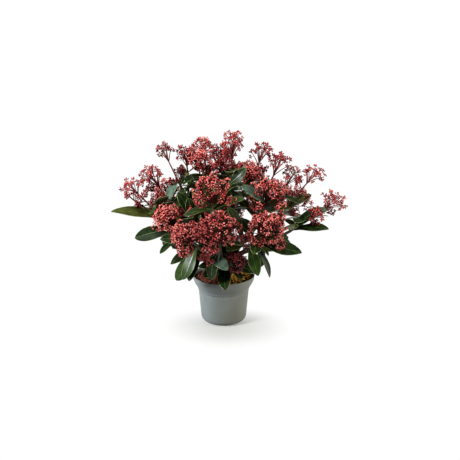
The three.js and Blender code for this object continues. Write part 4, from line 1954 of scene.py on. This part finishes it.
@dataclass(frozen=True)
class Foliage:
    """All shoots and leaves, grown mass by mass."""

    thicket: Thicket
    stem_foot: float = 2.6
    stem_tip: float = 1.5
    stem_relief: float = 0.16
    deep_share: float = 0.66
    middle_share: float = 0.9

    def _tint(self, mass: Mass, number: int) -> LeafTint:
        """Deals out a leaf's shade.

        Args:
            mass: The mass.
            number: The leaf's number in it.

        Returns:
            The shade.
        """
        draw = seeded(Draw.LEAF_TINT, mass.index, number)
        if draw < self.deep_share:
            return LeafTint.DEEP
        return LeafTint.MIDDLE if draw < self.middle_share else LeafTint.OLIVE

    def _whorl_leaf(self, mass: Mass, shoot: int, number: int, count: int, attempt: int) -> Leaf:
        """Gives one leaf of a shoot. Leaves spiral up to the collar, the lowest most spread.

        Args:
            mass: The mass.
            shoot: The number of the shoot's head.
            number: The leaf's number from below.
            count: How many leaves the shoot has.
            attempt: How often it has been turned aside.

        Returns:
            The leaf.
        """
        head = mass.heads[shoot]
        noise = seeded_row(5, mass.index, shoot, number) - 0.5
        rise = (number + 0.5) / count
        turn = number * GOLDEN_ANGLE + mass.index
        turn = turn + GROWTH.turn_spread * noise[1] + attempt * GROWTH.try_turn
        angle = lerp(GROWTH.lowest_angle, GROWTH.highest_angle, rise)
        out = around(*across_axis(head.axis), turn)
        way = around(head.axis, out, math.radians(angle + GROWTH.angle_spread * noise[2]))
        length = mass.leaf * (1.0 - GROWTH.shortening * rise + GROWTH.length_spread * noise[3])
        root = mass.shoot(head).at(mass.leafy_share(head) * lerp(GROWTH.first_leaf, 1.0, rise))
        facing = head.axis + UP + out * (GROWTH.roll * noise[4])
        key = MASS_KEYS * mass.index + SHOOT_KEYS * shoot + number
        tint = self._tint(mass, SHOOT_KEYS // 2 * shoot + number)
        return Leaf(root, root + GROWTH.levelled(way) * length, facing, key, tint)

    @staticmethod
    def _outer_leaves(mass: Mass) -> list[Leaf]:
        """Gives a mass's long outer leaves, from its first shoot to the tips that no other leaf reaches.

        Args:
            mass: The mass.

        Returns:
            The leaves.
        """
        leafy = mass.leafy_share(mass.heads[0])
        leaves = []
        for number, given in enumerate(mass.tips):
            if any(math.dist(given, stray.tip) < GROWTH.taken_reach for stray in STRAY_LEAVES):
                continue
            tip = np.array(given, dtype=float)
            share = leafy * (GROWTH.outer_start + GROWTH.outer_step * number)
            if abs(tip[0]) > GROWTH.beside * abs(tip[1]):
                sideways = GROWTH.sideways if tip[1] > GROWTH.back_side else -GROWTH.sideways
                facing = np.array((0.0, sideways, 1.0))
            else:
                facing = unit(tip * (1.0, 1.0, 0.0)) * GROWTH.outward + UP
            # Outer leaves that reach furthest to the front take the lighter middle green: painted light.
            tint = LeafTint.MIDDLE if tip[1] < GROWTH.lit_reach else LeafTint.DEEP
            root = mass.shoot(mass.heads[0]).at(share)
            key = MASS_KEYS * mass.index + OUTER_KEYS + number
            leaves.append(Leaf(root, tip, facing, key, tint, roll=GROWTH.outer_roll))
        return leaves

    def _stray_leaves(self) -> list[Leaf]:
        """Gives the leaves that show plainly, each from the limb nearest its root.

        Returns:
            The leaves.
        """
        limbs, _ = self.thicket.limb_samples
        leaves = []
        for number, stray in enumerate(STRAY_LEAVES):
            rows = (stray.root, stray.tip, stray.facing)
            root, tip, facing = (np.array(row, dtype=float) for row in rows)
            near = limbs[np.argmin(np.linalg.norm(limbs - root, axis=1))]
            if np.linalg.norm(near - root) < GROWTH.snap_reach:
                root = near
            key = STRAY_KEYS + number
            leaves.append(Leaf(root, tip, facing, key, stray.tint, stray.is_browned, roll=0.0))
        return leaves

    def _bough_leaf(self, mass: Mass, line: Bend, number: int, attempt: int) -> Leaf:
        """Gives one of the older leaves along a bough, in the shade of the crown.

        Args:
            mass: The mass that the bough carries.
            line: The bough's centre line.
            number: The leaf's number from the bough's foot.
            attempt: How often it has been turned aside.

        Returns:
            The leaf.
        """
        share = lerp(GROWTH.bough_start, 1.0, (number + 0.5) / GROWTH.bough_leaves[0])
        root = line.at(share)
        along = unit(line.at(min(1.0, share + GROWTH.bough_step)) - line.at(share - GROWTH.bough_step))
        noise = seeded_row(3, mass.index, Draw.BOUGH_LEAF, number) - 0.5
        turn = number * GOLDEN_ANGLE + mass.index + noise[0] + attempt * GROWTH.try_turn
        tilt = math.radians(GROWTH.bough_angle + GROWTH.bough_angle_spread * noise[1])
        way = around(along, around(*across_axis(along), turn), tilt)
        length = mass.leaf * (1.0 + GROWTH.bough_length_spread * noise[2])
        key = MASS_KEYS * mass.index + BOUGH_KEYS + number
        tint = self._tint(mass, BOUGH_KEYS + number)
        return Leaf(root, root + GROWTH.levelled(way) * length, along + UP, key, tint)

    def _grow(self) -> list[Leaf]:
        """Grows the outer leaves, those that show plainly, the whorls and the leaves on the boughs.

        Returns:
            All leaves.
        """
        leaves = [leaf for mass in PLANT for leaf in self._outer_leaves(mass)] + self._stray_leaves()
        for leaf in leaves:
            self.thicket.takes(leaf, is_outer=True)
        growers: list[Callable[[int], Leaf]] = []
        for mass, shoot, head in HEADS:
            count = GROWTH.side_leaves if shoot else GROWTH.leaf_count(GROWTH.leader_leaves, head)
            growers += [partial(self._whorl_leaf, mass, shoot, number, count) for number in range(count)]
        for mass in PLANT:
            line = self.thicket.limbs.boughs[mass.name]
            count = GROWTH.leaf_count(GROWTH.bough_leaves, mass.heads[0])
            growers += [partial(self._bough_leaf, mass, line, number) for number in range(count)]
        for grower in growers:
            for attempt in range(GROWTH.tries):
                leaf = grower(attempt)
                if self.thicket.takes(leaf):
                    leaves.append(leaf)
                    break
        return leaves

    def _shoots(self) -> Build:
        """Builds the green shoots from each mass's foot to the collars under its heads.

        Returns:
            The shoots.
        """
        shoots = Build()
        for mass, number, head in HEADS:
            share = np.linspace(0.0, mass.leafy_share(head) + GROWTH.shoot_end, 14)
            points = mass.shoot(head).at(share)
            points[0] = mass.foot - mass.heads[0].axis * GROWTH.shoot_start
            relief = Limbs.bark_relief(self.stem_relief, mass.index + number)
            add_tube(shoots, points, lerp(self.stem_foot, self.stem_tip, share), 10, relief=relief)
        return shoots

    def build(self) -> None:
        """Builds the shoots and the leaves."""
        gloss = {"cloud": 160.0, "roughness": 0.6, "coat": 0.1}
        skin = LivingSkin("green_shoot", rgb(60, 54, 28), rgb(96, 92, 46), **gloss)
        self._shoots().piece("leafy_shoots", [skin.material()], "foliage")
        leaves = self._grow()
        LOG.info("%d leaves", len(leaves))
        for tint in LeafTint:
            build = Build()
            for leaf in leaves:
                if leaf.tint is tint:
                    leaf.add_to(build)
            nodes = MASS_NODES if tint is LeafTint.DEEP else ()
            build.piece(f"leaves_{tint.value}", leaf_materials(tint), "foliage", nodes)


# ---------------------------------------------------------------- flowers


@dataclass(frozen=True, eq=False)
class Sprig:
    """A tuft of buds: where its stalk starts, the hub that the buds spread from, its way and its sizes."""

    start: Points
    hub: Points
    way: Points
    reach: float
    bead: float
    count: int
    key: int


@dataclass(frozen=True)
class Panicle:
    """How a flower head branches, from a closed dome (openness 0) to a loose spray (openness 1).

    Branches leave the head's stem in a spiral, and each forks into sprigs of buds. A pair of numbers holds
    the values for a closed dome and for a loose spray, but length_range, bead_reach and fork_place hold a
    first value and what is added to it.
    """

    branches: tuple[float, float] = (48.0, 20.0)
    fewest: int = 5
    full_size: float = 68.0 * 62.0
    crowding: float = 0.74
    span: tuple[float, float] = (1.5, 1.0)
    depth: tuple[float, float] = (0.79, 0.92)
    depth_spread: tuple[float, float] = (0.22, 0.16)
    root_depth: tuple[float, float] = (0.42, 0.62)
    root_rise: tuple[float, float] = (0.26, 0.3)
    tines: int = 3
    tine_step: tuple[float, float] = (0.1, 0.13)
    tine_length: tuple[float, float] = (6.0, 5.2)
    tine_lean: tuple[float, float] = (0.9, 0.8)
    sprig_reach: tuple[float, float] = (3.9, 3.3)
    beads: tuple[float, float] = (6.4, 5.0)
    bead_radius: tuple[float, float] = (1.33, 1.56)
    bead_spread: float = 0.34
    bead_cone: float = 88.0
    gaps: tuple[float, float] = (0.5, 0.1)
    lumps: tuple[float, float] = (0.24, 0.1)
    lump_turn: float = 2.4
    lump_rows: float = 5.0
    first_branch: float = 0.4
    bow: float = 0.14
    outward: tuple[float, float] = (1.0, 0.4)
    length_range: tuple[float, float] = (0.8, 0.4)
    bead_count_spread: float = 2.2
    bead_reach: tuple[float, float] = (0.8, 0.5)
    bead_turn: float = 0.8
    side_sprays: tuple[int, int] = (3, 2)
    side_angle: float = 66.0
    side_angle_spread: float = 30.0
    side_droop: float = -0.15
    side_bow: float = 1.5
    side_reach: tuple[float, float] = (0.62, 0.36)
    side_start: float = 0.82
    side_end: tuple[float, float] = (0.0, 0.6)
    forks: int = 3
    fork_place: tuple[float, float] = (0.45, 0.2)
    fork_turn: float = 2.1
    fork_lean: float = 0.9
    fork_length: float = 7.0

    @staticmethod
    def at(pair: tuple[float, float], head: Head) -> float:
        """Gives a value for a head's openness."""
        return lerp(*pair, head.openness)

    def drawn_length(self, length: float, *keys: int) -> float:
        """Gives a length that a seeded draw makes shorter or longer."""
        return length * (self.length_range[0] + self.length_range[1] * seeded(*keys))

    def branch_lines(self, mass: Mass, head: Head, seed: int) -> list[Bend]:
        """Gives the branches of one head.

        Args:
            mass: The mass.
            head: The flower head.
            seed: The head's own number.

        Returns:
            Their centre lines.
        """
        stem = mass.shoot(head)
        size = head.width * head.height / self.full_size
        count = max(self.fewest, round(self.at(self.branches, head) * size**self.crowding))
        lines = []
        for number in range(count):
            cosine = 1.0 - self.at(self.span, head) * (number + self.first_branch) / count
            gap = self.at(self.gaps, head) * (1.0 - cosine) / self.span[0]
            if seeded(seed, number, FlowerDraw.GAP) < gap:
                continue
            turn = number * GOLDEN_ANGLE + seed
            spread = self.at(self.depth_spread, head) * (seeded(seed, number, FlowerDraw.DEPTH) - 0.5)
            phase = self.lump_turn * turn % math.tau + self.lump_rows * cosine + seed
            lump = self.at(self.lumps, head) * math.sin(phase)
            depth = self.at(self.depth, head) + spread + lump * (1.0 - 0.5 * cosine)
            end = head.on_dome(cosine, turn, depth)
            drop = (self.at(self.root_depth, head) - self.at(self.root_rise, head) * cosine) * head.height
            start = stem.at(max(0.0, 1.0 - drop / stem.length))
            bow = UP * (self.bow * float(np.linalg.norm(end - start)))
            lines.append(Bend(start, (start + end) / 2 + bow, end))
        return lines

    def side_lines(self, mass: Mass, head: Head, seed: int) -> list[Bend]:
        """Gives the side sprays under a head, which leave its shoot between the uppermost leaves.

        Args:
            mass: The mass.
            head: The flower head.
            seed: The head's own number.

        Returns:
            Their centre lines.
        """
        stem = mass.shoot(head)
        across, other = across_axis(head.axis)
        leafy = mass.leafy_share(head)
        highest = lerp(leafy, 1.0, self.at(self.side_end, head))
        lines = []
        count = round(self.at(self.side_sprays, head))
        for number in range(count):
            turn = number * GOLDEN_ANGLE + 1.7 * seed
            spread = self.side_angle_spread * (seeded(seed, number, FlowerDraw.SIDE_TILT) - 0.5)
            tilt = math.radians(self.side_angle + spread)
            way = around(head.axis, around(across, other, turn), tilt)
            way[2] = max(way[2], self.side_droop)
            share = (number + seeded(seed, number, FlowerDraw.SIDE_PLACE)) / count
            start = stem.at(lerp(leafy * self.side_start, highest, share))
            reach = self.at(self.side_reach, head) * head.width
            end = start + unit(way) * self.drawn_length(reach, seed, number, FlowerDraw.SIDE_LENGTH)
            for step in range(self.forks):
                root = lerp(start, end, self.fork_place[0] + self.fork_place[1] * step)
                lean = around(across, other, turn + self.fork_turn * step)
                fork = unit(way + self.fork_lean * lean) * self.fork_length
                lines.append(Bend(root, (root + end) / 2, root + fork))
            lines.append(Bend(start, (start + end) / 2 + UP * self.side_bow, end))
        return lines

    def sprigs(self, head: Head, line: Bend, key: int) -> list[Sprig]:
        """Gives the sprigs of one branch: one at its end and the others beside it.

        Args:
            head: The flower head.
            line: The branch.
            key: The branch's own number.

        Returns:
            The sprigs.
        """
        along = unit(line.end - line.middle)
        outward = unit(line.end - head.centre)
        way = unit(along + self.at(self.outward, head) * outward)
        across, other = across_axis(way)
        first = 2 * math.pi * seeded(key, FlowerDraw.SPRIG_TURN)
        reach = self.at(self.sprig_reach, head)
        bead = self.at(self.bead_radius, head)
        found = []
        for tine in range(self.tines):
            out = around(across, other, first + tine * 2 * math.pi / self.tines)
            lean = unit(way + self.at(self.tine_lean, head) * out)
            start = line.at(1.0 - self.at(self.tine_step, head) * (1.0 + tine))
            length = self.drawn_length(self.at(self.tine_length, head), key, tine, FlowerDraw.SPRIG_LENGTH)
            more = self.bead_count_spread * (seeded(key, tine, FlowerDraw.SPRIG_COUNT) - 0.3)
            count = int(self.at(self.beads, head) + more)
            found.append(Sprig(start, start + lean * length, lean, reach, bead, count, 10 * key + tine))
        return found

    def beads_of(self, sprig: Sprig) -> tuple[Points, Points, Points]:
        """Gives a sprig's buds.

        Args:
            sprig: The sprig.

        Returns:
            Their centres, the ways that they face and their radii.
        """
        across, other = across_axis(sprig.way)
        number = np.arange(sprig.count)
        draws = np.array([seeded_row(3, sprig.key, bead) for bead in range(sprig.count)])
        span = 1.0 - math.cos(math.radians(self.bead_cone))
        cosine = 1.0 - span * (number + 0.3) / sprig.count
        sine = np.sqrt(1.0 - cosine**2)
        turn = number * GOLDEN_ANGLE + sprig.key + self.bead_turn * (draws[:, 0] - 0.5)
        ways = sprig.way * cosine[:, None] + rays(across, other, turn) * sine[:, None]
        reach = sprig.reach * (self.bead_reach[0] + self.bead_reach[1] * draws[:, 1])
        centres = sprig.hub + ways * reach[:, None]
        return centres, ways, sprig.bead * (1.0 + self.bead_spread * (draws[:, 2] - 0.5))


@dataclass(frozen=True)
class PaintedBudLight:
    """Painted light and shade on the buds: the tops of closed heads are brightest, and open, high and hidden
    buds darkest.
    """

    # skin is the depth over which buds go from painted shade inside a head to lit at its skin.
    skin: tuple[float, float] = (0.58, 0.88)
    painted_brightness: tuple[float, float] = (-0.34, 0.72)
    top: float = 0.35
    openness: float = 0.54
    high: tuple[float, float] = (265.0, 325.0)
    high_shade: float = 0.06
    coral: float = -0.4
    rose: float = 0.0
    crimson: tuple[float, float] = (0.4, 0.7)

    def tint(self, head: Head, place: Points, draw: float, cheer: float) -> BudTint:
        """Deals out a bud's tint, lighter or darker as painted light and shade.

        Args:
            head: The flower head.
            place: Where the bud is.
            draw: The bud's own number, 0 to 1.
            cheer: How much brighter than others the whole head is.

        Returns:
            The shade.
        """
        away = place - head.centre
        rise = float(np.dot(away, head.axis))
        out = math.sqrt(max(0.0, float(np.dot(away, away)) - rise**2))
        depth = math.hypot(2 * rise / head.height, 2 * out / head.width)
        # Buds deep inside a closed head get painted shade; those at its skin count as lit.
        outer = lerp(float(smooth(*self.skin, depth)), 1.0, head.openness)
        # Painted light on the upper part of each head, painted shade on open heads.
        painted_brightness = lerp(*self.painted_brightness, outer) + self.top * rise / head.height - self.openness * head.openness
        # Painted shade on the heads high in the crown.
        painted_brightness -= self.high_shade * float(smooth(*self.high, head.z))
        level = draw - painted_brightness - cheer
        if level < self.coral:
            return BudTint.CORAL
        if level < self.rose:
            return BudTint.ROSE
        return BudTint.CRIMSON if level < lerp(*self.crimson, head.openness) else BudTint.MAROON


@dataclass
class Blossom:
    """All flower heads in bud: stalks that branch from each shoot, and the buds at their ends."""

    panicle: Panicle = field(default_factory=Panicle)
    shading: PaintedBudLight = field(default_factory=PaintedBudLight)
    cheer_spread: float = 0.46
    piece_limit: int = 5400
    stem_radii: tuple[float, float] = (1.8, 0.8)
    branch_radii: tuple[float, float] = (1.0, 0.55)
    thread_radius: float = 0.36
    bud_profile: tuple[tuple[float, float], ...] = ((0.6, -0.7), (0.9, 0.05), (0.6, 0.8))
    bud_ends: tuple[float, float] = (-1.05, 1.2)
    bud_sides: int = 6
    stem_end: float = 0.3
    bud_seat: float = 0.6
    stalks: Build = field(default_factory=Build)
    threads: dict[bool, list[tuple[Points, Points]]] = field(default_factory=lambda: {True: [], False: []})
    beads: dict[BudTint, list[tuple[Points, Points, float]]] = field(
        default_factory=lambda: {tint: [] for tint in BudTint}
    )

    def _grow_head(self, mass: Mass, head: Head, seed: int) -> None:
        """Grows one flower head.

        Args:
            mass: The mass.
            head: The flower head.
            seed: The head's own number.
        """
        share = np.linspace(mass.leafy_share(head), 1.0, 12)
        cheer = self.cheer_spread * (seeded(Draw.HEAD_CHEER, seed) - 0.5)
        top = head.centre + head.axis * (self.stem_end * head.height)
        points = np.concatenate([mass.shoot(head).at(share), top[None]])
        add_tube(self.stalks, points, np.linspace(*self.stem_radii, len(points)), 8)
        lines = self.panicle.branch_lines(mass, head, seed)
        if head is mass.heads[0]:
            lines += self.panicle.side_lines(mass, head, seed)
        steps, radii = np.linspace(0.0, 1.0, 6), np.linspace(*self.branch_radii, 6)
        threads = self.threads[head.is_dense]
        for number, line in enumerate(lines):
            # Branches of closed heads take the second slot, a darker copy of the stalk colour: painted
            # shade.
            add_tube(self.stalks, line.at(steps), radii, 4, int(head.is_dense))
            for sprig in self.panicle.sprigs(head, line, 100 * seed + number):
                threads.append((sprig.start, sprig.hub))
                for index, (place, way, radius) in enumerate(zip(*self.panicle.beads_of(sprig))):
                    threads.append((sprig.hub, place - way * (self.bud_seat * radius)))
                    tint = self.shading.tint(head, place, seeded(Draw.BUD_TINT, sprig.key, index), cheer)
                    self.beads[tint].append((place, way, float(radius)))

    def _buds(self, rows: Sequence[tuple[Points, Points, float]]) -> Build:
        """Builds buds: many-sided beads with pointed ends.

        Args:
            rows: Each bud's centre, the way that it faces and its radius.

        Returns:
            The buds.
        """
        shape, faces = turned_shape(self.bud_profile, self.bud_sides)
        low, high = len(shape), len(shape) + 1
        shape = np.concatenate([shape, [[0.0, 0.0, end] for end in self.bud_ends]])
        ring = np.arange(self.bud_sides)
        last = ring + low - self.bud_sides
        below = np.stack([np.roll(ring, -1), ring, np.full(self.bud_sides, low)], axis=1)
        above = np.stack([last, np.roll(last, -1), np.full(self.bud_sides, high)], axis=1)
        build = Build()
        add_copies(build, shape, [faces, np.concatenate([below, above])], rows)
        return build

    def build(self) -> None:
        """Builds the stalks and the buds."""
        for mass, shoot, head in HEADS:
            self._grow_head(mass, head, 10 * mass.index + shoot)
        for is_dense, threads in self.threads.items():
            starts, ends = (np.array(side) for side in zip(*threads))
            # Threads inside closed heads take the same darker slot: painted shade.
            add_rods(self.stalks, starts, ends, self.thread_radius, int(is_dense))
        matt = {"roughness": 0.5, "shine": 0.2, "coat": 0.05}
        stalk = LivingSkin("flower_stalk", rgb(84, 30, 24), rgb(126, 50, 40), **matt)
        # A darker copy of the stalk colour for the stalks inside closed heads: painted shade.
        dull = {"roughness": 0.7, "shine": 0.1, "coat": 0.0}
        shaded_stalk = LivingSkin("flower_stalk_painted_shade", rgb(26, 16, 10), rgb(50, 24, 18), **dull)
        self.stalks.piece("flower_stalks", [stalk.material(), shaded_stalk.material()], "blossom")
        for tint, rows in self.beads.items():
            material = bud_material(tint)
            for start in range(0, len(rows), self.piece_limit):
                ending = f"_{start // self.piece_limit + 1}" if start else ""
                part = self._buds(rows[start : start + self.piece_limit])
                part.piece(f"buds_{tint.value}{ending}", [material], "blossom")
            LOG.info("%d %s buds", len(rows), tint.value)


# ---------------------------------------------------------------- studio


@dataclass(frozen=True)
class SoftBox:
    """A square soft light that faces the plant: where it hangs, its side, its power and its colour."""

    name: str
    place: tuple[float, float, float]
    size: float
    power: float
    colour: Colour
    aim_height: float = 0.2

    def build(self) -> None:
        """Hangs the light."""
        data = bpy.data.lights.new(self.name, "AREA")
        data.energy = self.power
        data.size = self.size
        data.color = self.colour[:3]
        light = put_in_scene(self.name, data)
        light.location = self.place
        aim = Vector((0.0, 0.0, self.aim_height)) - light.location
        light.rotation_euler = aim.to_track_quat("-Z", "Y").to_euler()


SOFT_BOXES = (
    SoftBox("overhead", (-0.3, 0.0, 1.6), 0.9, 24.0, (1.0, 0.99, 0.96, 1.0)),
    SoftBox("key", (-1.45, -0.95, 1.1), 0.6, 56.0, (0.98, 0.99, 1.0, 1.0)),
    SoftBox("right", (1.55, -0.45, 0.45), 1.0, 25.0, (1.0, 0.92, 0.74, 1.0)),
)


@dataclass(frozen=True)
class Studio:
    """A pale floor, a white surround, soft light from above and both sides, and the camera."""

    camera_pitch: float = 16.2
    lens: float = 51.46
    sensor: float = 36.0
    floor_radius: float = 4.0
    floor_sides: int = 64
    surround_radius: float = 6.0
    surround_sides: int = 48
    brightness: float = 1.02
    least_glow: float = 0.12
    glow_reach: float = 0.15
    sky: Colour = (0.95, 0.98, 1.0, 1.0)
    ambient: float = 0.11
    shade_place: tuple[float, float, float] = (0.0, -0.045, 0.0)

    def _camera(self) -> None:
        """Sets up the camera."""
        data = bpy.data.cameras.new("camera")
        data.lens = self.lens
        data.sensor_width = self.sensor
        camera = put_in_scene("camera", data)
        camera.location = EYE * METRES
        camera.rotation_euler = (math.radians(90.0 - self.camera_pitch), 0.0, 0.0)
        bpy.context.scene.camera = camera

    @staticmethod
    def _stage_piece(
        name: str,
        points: Points,
        faces: Points,
        material: bpy.types.Material,
    ) -> bpy.types.Object:
        """Adds one piece of the stage.

        Args:
            name: The piece's name.
            points: Its points in metres, one per row.
            faces: Its faces.
            material: Its material.

        Returns:
            The object.
        """
        mesh = bpy.data.meshes.new(name)
        mesh.from_pydata(points.tolist(), [], faces.tolist())
        mesh.materials.append(material)
        made = put_in_scene(name, mesh)
        return made

    def _glow(self, graph: Graph) -> Wire:
        """Adds a shader that glows plain white."""
        return graph.node("ShaderNodeEmission", None, {"Color": WHITE, "Strength": self.brightness})

    def _floor_material(self) -> bpy.types.Material:
        """Makes the floor's finish, which glows into plain white away from the pot.

        Returns:
            The material.
        """
        graph = Graph("pale_floor")
        oval = graph.stretched(1.0, 1.3, 1.0)
        away = graph.node("ShaderNodeVectorMath", {"operation": "LENGTH"}, {0: oval}, "Value")
        paper = graph.mix(graph.noise(40.0, 2.0), rgb(204, 205, 203), rgb(210, 211, 209))
        matt = graph.node("ShaderNodeBsdfPrincipled", None, {"Base Color": paper, "Roughness": 0.9})
        glow = self._glow(graph)
        share = self.least_glow + (1.0 - self.least_glow) * away.ease(0.0, self.glow_reach)
        return graph.finish(graph.node("ShaderNodeMixShader", None, {0: share, 1: matt, 2: glow}))

    def _floor(self) -> None:
        """Lays the floor."""
        turns = circle(self.floor_sides)
        disc = np.stack([np.cos(turns), np.sin(turns), 0.0 * turns], axis=1) * self.floor_radius
        floor = self._stage_piece("floor", disc, np.arange(len(turns))[None, :], self._floor_material())
        floor.location = self.shade_place
        floor.visible_diffuse = False

    def _surround(self) -> None:
        """Puts up the white surround, which only the camera sees."""
        heights = np.linspace(-0.5, 1.0, 16)
        profile = np.array([(math.sqrt(1 - h * h) if abs(h) < 1 else 0.01, h) for h in heights])
        points, faces = turned_shape(profile * self.surround_radius, self.surround_sides)
        graph = Graph("white_surround")
        surround = self._stage_piece("surround", points, faces, graph.finish(self._glow(graph)))
        for ray in ("diffuse", "glossy", "shadow", "transmission", "volume_scatter"):
            setattr(surround, f"visible_{ray}", False)

    def build(self) -> None:
        """Builds the studio."""
        self._camera()
        self._floor()
        self._surround()
        for box in SOFT_BOXES:
            box.build()
        world = bpy.data.worlds.new("studio")
        world.use_nodes = True
        back = world.node_tree.nodes["Background"]
        back.inputs["Color"].default_value = self.sky
        back.inputs["Strength"].default_value = self.ambient
        bpy.context.scene.world = world
        bpy.context.scene.view_settings.view_transform = "Standard"


def main() -> None:
    """Builds the studio, the pot and the plant, and reports each piece."""
    logging.basicConfig(level=logging.INFO, format="%(message)s")
    Studio().build()
    pot = Pot()
    # The last colour is for the pot's dark flecks and the painted shade on its right half.
    pot.build(PotPlastic(rgb(114, 123, 123), rgb(144, 154, 154), rgb(150, 142, 124), rgb(86, 80, 62)))
    soil = Soil(pot)
    soil.build()
    limbs = Limbs()
    limbs.build(
        Bark("old_bark", rgb(46, 30, 22), rgb(104, 76, 54), rgb(96, 98, 74)),
        Bark("young_bark", rgb(48, 34, 22), rgb(100, 78, 50), rgb(84, 92, 56)),
    )
    Foliage(Thicket(limbs, pot, soil)).build()
    Blossom().build()


if __name__ == "__main__":
    main()
